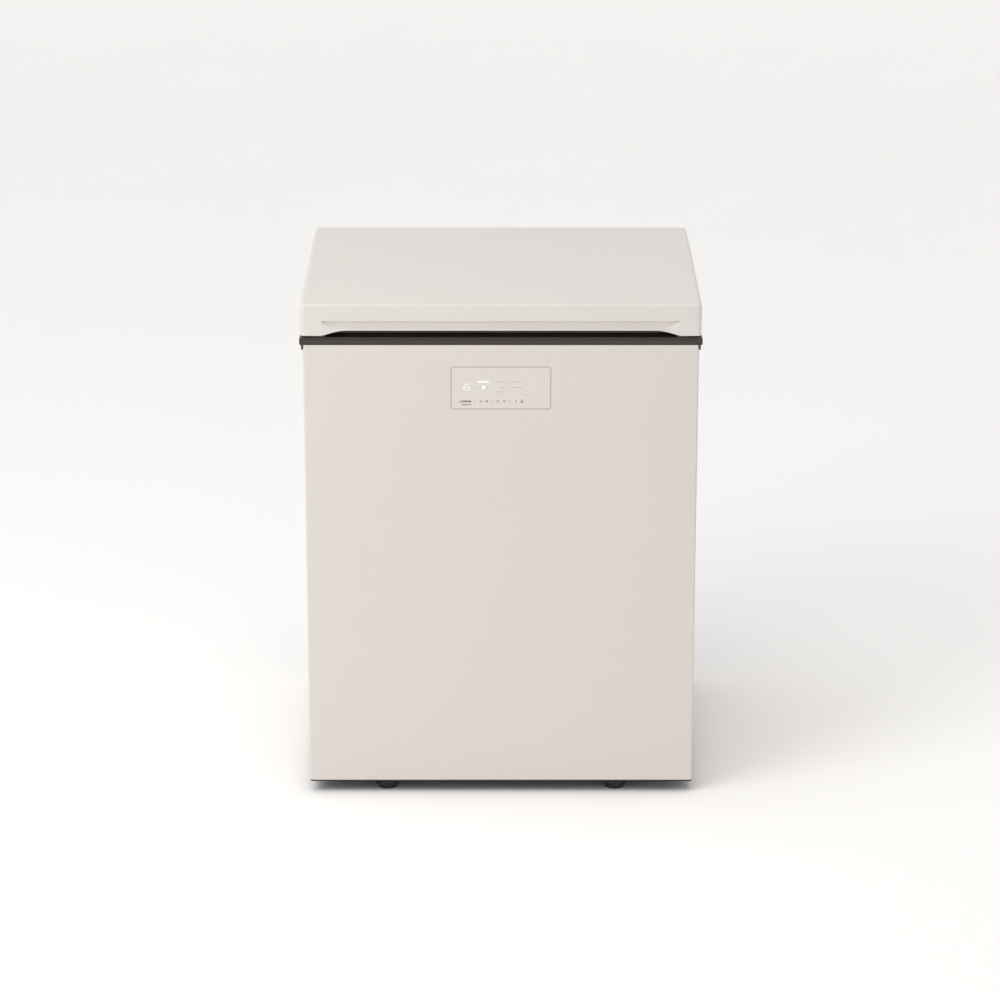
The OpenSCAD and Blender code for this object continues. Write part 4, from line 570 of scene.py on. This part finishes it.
# ---- Window housing and display board ----
# A black plastic cup behind the window, foamed in, and a green board in it that carries the lamps
# and the touch pads.

housing_plastic = moulded("housing_plastic", (44, 44, 45), 0.44, 0.001)
dress(housing_plastic, "display_housing")


def circuit_board(name):
    """Lacquered board: square tracks a shade lighter than the lacquer, and pin holes in a grid."""
    board = Finish(name, IOR=1.5, Coat_Weight=0.5, Coat_Roughness=0.1)
    tracks = board.node("ShaderNodeTexVoronoi", {"distance": "MANHATTAN", "feature": "DISTANCE_TO_EDGE"},
        {"Vector": board.place, "Scale": 160.0}, "Distance")
    copper_way = tracks < 0.06
    board.feed("Base Color", board.mix(copper_way, tint(34, 92, 58), tint(58, 128, 80)))
    board.feed("Roughness", 0.3 + board.noise(0.002) * 0.12)
    board.bumps(copper_way * 0.6 + board.noise(0.001) * 0.2, 0.00008)
    return board


lacquered_board = circuit_board("lacquered_board")
dress(lacquered_board, "display_board", "control_board")


# ---- Compressor ----
# A sealed steel shell in black enamel with its feet welded on, on four rubber grommets that are
# held by bolts. A black cap covers its terminals.

shell_enamel = black_enamel("shell_enamel", (30, 30, 32), 0.3, 0.002)
dress(shell_enamel, "compressor_shell", "compressor_feet")
cap_plastic = moulded("cap_plastic", (32, 32, 33), 0.42, 0.0009)
dress(cap_plastic, "terminal_cover")
grommet_rubber = soft_rubber("grommet_rubber", (30, 29, 28), 0.3)
dress(grommet_rubber, "compressor_grommets")
bright_steel = drawn_metal("bright_steel", (190, 191, 192), 0.95, 0.26, (140, 138, 134), 0.006)
dress(bright_steel, "compressor_bolts")


# ---- Pipes and drier ----
# Soft copper tube, bent by hand and brazed, that runs from the compressor to the condenser, the
# drier and the coil. Handling and heat leave it brown in patches.

copper_tube = drawn_metal("copper_tube", (206, 132, 96), 0.95, 0.26, (138, 84, 62), 0.018)
dress(copper_tube, "discharge_pipe", "suction_pipe", "liquid_pipe", "filter_drier", "capillary_tube")


# ---- Condenser ----
# Steel tube in black enamel, bent to and fro through a pack of thin aluminium fins. The fins are a
# tight fit on the tube, and the fan draws air between them.

tube_enamel = black_enamel("tube_enamel", (34, 34, 35), 0.36, 0.0015)
dress(tube_enamel, "condenser_tube")
fin_aluminium = drawn_metal("fin_aluminium", (198, 200, 202), 0.9, 0.32, (150, 152, 154), 0.01)
dress(fin_aluminium, "condenser_fins")


# ---- Fan ----
# A small motor on a pressed shroud, with a wheel moulded in one piece that draws air through the
# condenser and blows it over the compressor.

shroud_zinc = zinc_coat("shroud_zinc", 0.008, (172, 175, 177))
dress(shroud_zinc, "fan_shroud")
motor_plastic = moulded("motor_plastic", (38, 38, 40), 0.4, 0.0009)
dress(motor_plastic, "fan_motor")
wheel_plastic = moulded("wheel_plastic", (58, 60, 62), 0.34, 0.0012)
dress(wheel_plastic, "fan_wheel")


# ---- Control box ----
# A flame-proof box of off-white plastic under the compartment's roof, open below and closed by a
# zinc cover, with the control board in it.

box_plastic = moulded("box_plastic", (214, 212, 205), 0.42, 0.001, spread=0.04)
dress(box_plastic, "control_box")


# ---- Screws of the rear cover ----
# Pan-head screws with a crossed recess and a coarse rolled thread, zinc plated. They hold the rear
# cover along both of its upright edges.

def cross_screws(places, head_r, head_h, shank_r, shank_l):
    """Screws along +Y. Rings run from the middle of the head over its dome, round its edge, in under
    it and down the shank. The dome falls with the radius to the power 2.4, a cross is pressed into it,
    and the shank's radius goes in and out along a helix for the thread."""
    turn = np.linspace(0, 2 * np.pi, 40, endpoint=False)
    out = np.linspace(0, 1, 12)[:, None]
    level = np.ones_like(turn)
    dome_r = head_r * out * level
    x, z = dome_r * np.cos(turn), dome_r * np.sin(turn)
    slot_l, slot_w = head_r * 0.62, head_r * 0.16
    slots = [np.clip((slot_w - abs(a)) / slot_w * 2, 0, 1) * np.clip((slot_l - abs(b)) / slot_w, 0, 1)
        for a, b in ((x, z), (z, x))]
    dome_h = head_h * (1 - 0.5 * out ** 2.4) - head_h * 0.6 * np.maximum(*slots)
    edge = np.array([[0.99, 0.36], [1.0, 0.28], [1.0, 0.1], [0.98, 0.0]])
    edge_r, edge_h = head_r * edge[:, :1] * level, head_h * edge[:, 1:] * level
    pitch = shank_r * 0.62
    down = np.arange(0, shank_l - shank_r * 0.7, pitch / 4)[:, None]
    thread = 0.5 + 0.5 * np.cos(2 * np.pi * down / pitch - turn)
    thread_r = shank_r * (0.84 + 0.15 * thread)
    tip_r = np.array([[0.55], [0.0]]) * shank_r * level
    tip_h = -np.array([[shank_l - shank_r * 0.35], [shank_l]]) * level
    radius = np.concatenate([dome_r, edge_r, thread_r, tip_r])
    height = np.concatenate([dome_h, edge_h, -down * level, tip_h])
    screw = np.stack([radius * np.cos(turn), height, radius * np.sin(turn)], -1)
    return [(screw + np.array(place)) / 1000 for place in places]


plated_steel = drawn_metal("plated_steel", (198, 197, 190), 0.92, 0.28, (164, 160, 148), 0.004)
cover_places = [(side * 317, 257, z) for side in (-1, 1) for z in (52.5, 137.75, 223)]
cover_grids = cross_screws(cover_places, 4.5, 2.6, 1.9, 6)
cover_screws = closed_form("rear_cover_screws", plated_steel, cover_grids, 50)
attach(cover_screws, "root")
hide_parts("machine_cover_screws")


# ---- Grommet of the mains lead ----
# Soft black rubber, moulded in one piece and pushed into a hole in the rear cover. A flange on both
# sides of the sheet keeps it there.

dress(soft_rubber("gland_rubber", (34, 33, 32), 0.25), "cord_gland")


# ---- Hinge brackets ----
# Folded galvanised brackets behind the cabinet, each screwed through the back panel into a steel
# plate in the foam, with a channel for its spring and two ears for the pin.

bracket_zinc = zinc_coat("bracket_zinc", 0.005, (178, 180, 181))
dress(bracket_zinc, "hinge_bracket_left", "hinge_bracket_right", "hinge_anchor_plates")
dress(bright_steel, "hinge_pins")
bracket_places = [(side * x, 259.5, z) for side in (-1, 1) for x in (187, 243) for z in (694.92, 775)]
bracket_grids = cross_screws(bracket_places, 5, 3, 2.4, 9.3)
bracket_screws = closed_form("bracket_screws", plated_steel, bracket_grids, 50)
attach(bracket_screws, "root")
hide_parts("hinge_bracket_screws")


# ---- Hinge springs and plungers ----
# Wound spring steel, close at both ends, between the bracket's seat and a black acetal plunger that
# the arm's cam rests on. The springs carry most of the lid's weight.

spring_wire = drawn_metal("spring_wire", (150, 150, 152), 0.92, 0.3, (92, 88, 84), 0.005)


def hinge_spring_form(x, turning):
    """Wire carried along a helix: coils turns of mean radius coil_r, one close turn at each end and
    even pitch between, with each ring of the wire square to the helix and both ends closed."""
    coils, coil_r, wire_r, axis_y = 12, 5.4, 1.1, 272
    low, top, close = 705.172, 786.67, 2.7
    turns = np.linspace(0, coils, coils * 28 + 1)
    rise = np.interp(turns, [0, 1, coils - 1, coils], [low, low + close, top - close, top])
    angle = 2 * np.pi * turns
    centre = np.stack([x + turning * coil_r * np.cos(angle), axis_y + coil_r * np.sin(angle), rise], -1)
    ahead = np.gradient(centre, axis=0)
    ahead /= np.linalg.norm(ahead, axis=1, keepdims=True)
    outward = np.stack([turning * np.cos(angle), np.sin(angle), np.zeros_like(angle)], -1)
    across = np.cross(ahead, outward)
    ring = np.linspace(0, 2 * np.pi, 12, endpoint=False)[None, :, None]
    rings = centre[:, None] + wire_r * (np.cos(ring) * outward[:, None] + np.sin(ring) * across[:, None])
    ends = [np.repeat(centre[i][None, None], 12, 1) for i in (0, -1)]
    return np.concatenate([ends[0], rings, ends[1]]) / 1000


for side, x in (("left", -0.215), ("right", 0.215)):
    coil_grid = hinge_spring_form(x * 1000, 1 if x > 0 else -1)
    coil = closed_form("wound_spring_" + side, spring_wire, [coil_grid])
    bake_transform(coil)
    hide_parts("hinge_spring_" + side)

plunger_plastic = moulded("plunger_plastic", (36, 36, 37), 0.4, 0.001)
dress(plunger_plastic, "hinge_plunger_left", "hinge_plunger_right")


# ---- Front feet ----
# A ribbed knob on a threaded stem, turned by hand, that screws into a flanged bush in the base pan.
# The sole under it is softer and doesn't turn on the floor.

foot_plastic = moulded("foot_plastic", (33, 31, 30), 0.42, 0.0009)
dress(foot_plastic, "foot_knob_left", "foot_knob_right", "foot_bushes")
sole_rubber = soft_rubber("sole_rubber", (31, 30, 29), 0.25)
dress(sole_rubber, "foot_sole_left", "foot_sole_right")


# ---- Rear rollers ----
# Grey nylon rollers, moulded in one piece, on steel axles through the tray's cheeks. They carry the
# rear, and let the cabinet be wheeled when its front is lifted.

dress(bright_steel, "roller_axles")
roller_plastic = moulded("roller_plastic", (70, 70, 71), 0.42, 0.001)
dress(roller_plastic, "roller_left", "roller_right")


# ---- Lid cover ----
# One moulded cover in the cabinet's colour, with a shallow crown, a long scoop in its front face and
# a raised lip. Its coat is a touch smoother than that of the steel.

def lid_cover_form():
    """Sections of the lid in planes across x, each a closed loop: from the inner edge of the front
    skirt round its lower edge, up the front, over the top, down the back and along the inside. The
    front's lower edge rises by lip_rise over 41 mm at both ends of the lip. The outer wall is solid,
    and the loops within it leave the lid hollow from below."""
    corner_x, corner_y, corner_r, middle_y = 322.75, 267, 8, -12.5
    wall, low_z, lip_rise, roll_r, scoop_depth = 2.5, 810.0, 9, 0.8, 5
    near = np.concatenate([[0, 60, 120, 180, 225, 246], np.linspace(253, 289.5, 14),
        np.arange(290.5, 296), [296.6, 297.49, 297.51, 305, 314, corner_x, 324.75, 325.9, 327, 328.25]])
    end = np.array([328.25, 329.0, 329.75, 330.3, 330.64, 330.75])
    reach_x = np.concatenate([near, end])
    x = np.concatenate([-reach_x[::-1], reach_x[1:]])[:, None]
    solid = np.zeros(len(end), bool)
    hollow = np.concatenate([solid, np.ones(2 * len(near) - 1, bool), solid])[:, None]
    side = abs(x)

    def half_depth(inset):
        """Half the lid's depth at x: as far as the corners' centres, and from there the height of a
        circle of radius corner_r less inset."""
        bend = np.maximum(side - corner_x, 0)
        return corner_y + np.sqrt(np.clip((corner_r - inset) ** 2 - bend ** 2, 0, None))

    def top(y, inset):
        """The crown over the depth, less inset, less a quarter circle that depends on the distance in
        from the plan's outline. Its radius is 3 mm in front, 5 mm behind and 6 mm at the sides."""
        over_x, over_y = np.maximum(side - corner_x, 0), np.maximum(abs(y - middle_y) - corner_y, 0)
        within = np.clip(corner_r - inset - np.hypot(over_x, over_y), 0, None)
        sideways = np.arctan2(over_x, np.maximum(over_y, 1e-9)) / (np.pi / 2)
        ends = np.where(y < 0, 3.0, 5.0)
        radius = np.maximum(ends + (6 - ends) * sideways - inset, 0.5)
        crown = np.interp(y, [-284.5, -206.5, 167.5, 257.5], [863, 865, 865, 862])
        return crown - inset - radius + np.sqrt(radius ** 2 - np.maximum(radius - within, 0) ** 2)

    def scoop(z):
        """How far the front goes in: scoop_depth times a share for the height, eased to nothing over
        1.5 mm at the ends of the scoop's upper edge and 2.2 mm more for each mm below it."""
        ease = np.clip((295.5 - side) / (1.5 + 2.2 * (835.4 - z)), 0, 1)
        share = np.interp(z, [820.2, 821.5, 823, 834.9, 835.4], [0, 0.66, 1, 0.94, 0])
        return scoop_depth * share * ease ** 2 * (3 - 2 * ease)

    front, back = middle_y - half_depth(0), middle_y + half_depth(0)
    front_in, back_in = middle_y - half_depth(wall), middle_y + half_depth(wall)
    slope = np.clip((296.6 - side) / 41, 0, 1)
    climb = 0.75 * slope * (1.5 - 0.5 * slope ** 2) + 0.25 * slope ** 2 * (3 - 2 * slope)
    low = low_z + lip_rise * climb
    turn = np.radians([90, 60, 30, 0])[None]
    share = np.array([0.33, 0.66, 1.0])[None]
    scoop_z = np.array([820.4, 820.8, 821.2, 821.5, 822, 823, 825, 827, 829, 831, 833, 834.5,
        834.9, 835.1, 835.4])[None]
    edge = np.array([0, 0.11, 0.46, 1.01, 1.76, 2.67, 3.7, 4.83, 6.0, 8.0])[None]
    inner_edge = np.array([0, 0.4, 1.4, 3.4])[None]
    flat_y = np.array([-267, -247, -227, -207.1, -205.9, -140, -60, 20, 100, 166.9, 168.1, 200,
        230.0])[None]
    y_top, y_in = (np.concatenate([np.broadcast_to(part, (len(x), part.shape[1])) for part in parts], 1)
        for parts in ((front + edge, flat_y, back - edge[:, ::-1]),
            (back_in - inner_edge, flat_y[:, ::-1], front_in + inner_edge[:, ::-1])))
    thick = np.where(side < 297.5, -281.5, front_in)
    rows = [(front + roll_r * (1 - np.cos(turn)), low + roll_r * (1 - np.sin(turn))),
        (front, (low + roll_r) * (1 - share) + 820.2 * share),
        (front + scoop(scoop_z), scoop_z), (front, np.array([[836.3, 842, 850]])),
        (y_top, top(y_top, 0)), (back, np.array([[848, 830]])),
        (back - roll_r * (1 - np.cos(turn[:, ::-1])), low_z + roll_r * (1 - np.sin(turn[:, ::-1]))),
        (back_in, np.array([[low_z]])), (y_in, np.where(hollow, top(y_in, wall), low_z)),
        (front_in, np.where(hollow, 838.0, low_z)), (thick, np.where(hollow, 837.99, low_z)),
        (thick, low)]
    size = [np.broadcast_shapes(y.shape, z.shape, (len(x), 1)) for y, z in rows]
    y, z = (np.concatenate([np.broadcast_to(row[axis], shape) for row, shape in zip(rows, size)], 1)
        for axis in (0, 1))
    rings = np.stack([np.broadcast_to(x, y.shape), y, z], -1)
    tips = [np.broadcast_to(np.array([at, middle_y, 835.0]), (1, y.shape[1], 3))
        for at in (-end[-1], end[-1])]
    return np.concatenate([tips[0], rings, tips[1]]) / 1000


lid_paint = satin_paint("lid_paint", (220, 215, 210), 0.003, 0.46)
lid_cover = closed_form("lid_cover", lid_paint, [lid_cover_form()])
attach(lid_cover, "lid")
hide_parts("lid_shell")


# ---- Lid's inner panel and foam ----
# White sheet plastic, vacuum formed, with a plug that drops into the tub. The foam poured above it
# sticks it to the cover and stiffens the lid.

liner_plastic = moulded("liner_plastic", (236, 236, 233), 0.3, 0.002, 0.00003, 0.02)
dress(liner_plastic, "lid_liner")
lid_foam_finish = rigid_foam("lid_foam_finish", (232, 214, 166))
dress(lid_foam_finish, "lid_foam")


# ---- Magnetic gasket ----
# Extruded soft vinyl, welded at its corners: a foot pushed under the inner panel's rim, a bellows
# and a flat bead with a magnet strip in it. It seals on the trim.

def gasket_section():
    """Closed outline of the extrusion, as (distance in from its outer side, height) in mm, with its
    corners rounded twice by cutting each side at its quarter points."""
    outline = np.array([(1.0, 817.0), (0.2, 816.6), (0.0, 815.4), (2.6, 815.1), (4.6, 814.4),
        (2.4, 813.2), (4.4, 812.2), (1.2, 811.6), (0.6, 810.6), (0.8, 807.6), (1.8, 806.8),
        (12.2, 806.8), (13.2, 807.6), (13.4, 810.6), (12.8, 811.6), (9.6, 812.2), (11.6, 813.2),
        (9.4, 814.4), (11.4, 815.1), (14.0, 815.4), (13.8, 816.6), (13.0, 817.0)])
    for _ in range(2):
        after = np.roll(outline, -1, axis=0)
        cuts = [outline * 0.75 + after * 0.25, outline * 0.25 + after * 0.75]
        outline = np.stack(cuts, 1).reshape(-1, 2)
    return outline


def gasket_form():
    """The section carried round a rectangle with round corners: at each corner its points turn about
    the corner's centre at the corner's radius less their distance in."""
    half_x, y0, y1, corner = 302.75, -259.5, 234.5, 18
    section = gasket_section()
    rings = []
    for quarter, (x, y) in enumerate(((1, 1), (-1, 1), (-1, -1), (1, -1))):
        turn = np.radians(90 * quarter + np.linspace(0, 90, 13))[:, None]
        reach = corner - section[:, 0][None]
        rings.append(np.stack([x * (half_x - corner) + reach * np.cos(turn),
            (y0 + y1) / 2 + y * ((y1 - y0) / 2 - corner) + reach * np.sin(turn),
            section[:, 1][None] * np.ones_like(turn)], -1))
    rings = np.concatenate(rings)
    return np.concatenate([rings, rings[:1]]) / 1000


gasket_vinyl = soft_rubber("gasket_vinyl", (118, 112, 108), 0.12)
gasket = closed_form("door_gasket", gasket_vinyl, [gasket_form()])
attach(gasket, "lid")
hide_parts("lid_gasket")


# ---- Finger pocket ----
# Moulded channel behind the front lip, open below, that the fingers reach into. It keeps the
# foam out of the space behind the lip. Its near-black colour is painted shade, standing in for the
# deep shadow in the gap under the lid's front edge.

# The near-black (17, 13, 11) is painted shade for the deep gap under the lid.
pocket_painted_shade_plastic = moulded("pocket_painted_shade_plastic", (17, 13, 11), 0.55, 0.0008)
dress(pocket_painted_shade_plastic, "grip_insert")


# ---- Lid arms ----
# Pressed arms with a leaf on the lid's back, a knuckle round the pin and the cam under it. Each leaf
# is screwed through the cover into a steel plate in the foam.

dress(bracket_zinc, "hinge_arm_left", "hinge_arm_right", "lid_anchor_plates")
leaf_places = [(side * x, 265, z) for side in (-1, 1) for x in (195, 235) for z in (830, 845)]
leaf_screws = closed_form("leaf_screws", plated_steel, cross_screws(leaf_places, 4.2, 2.6, 2.1, 10), 50)
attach(leaf_screws, "lid")
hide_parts("lid_screws")


# ---- Floor's finish ----
# Matt white paint with a trace of roller texture, on the studio's floor and low wall. It comes last
# because it is made with the helpers of the refrigerator's own finishes.

floor_paint = Finish("floor_paint", IOR=1.4)
floor_paint.feed("Base Color",
    floor_paint.mix(floor_paint.noise(0.6), tint(248, 247, 246), tint(250, 249, 248)))
floor_paint.feed("Roughness", 0.82 + floor_paint.noise(0.01) * 0.1)
floor_paint.bumps(floor_paint.noise(0.004), 0.00002)
floor_mesh.materials.append(floor_paint.material)
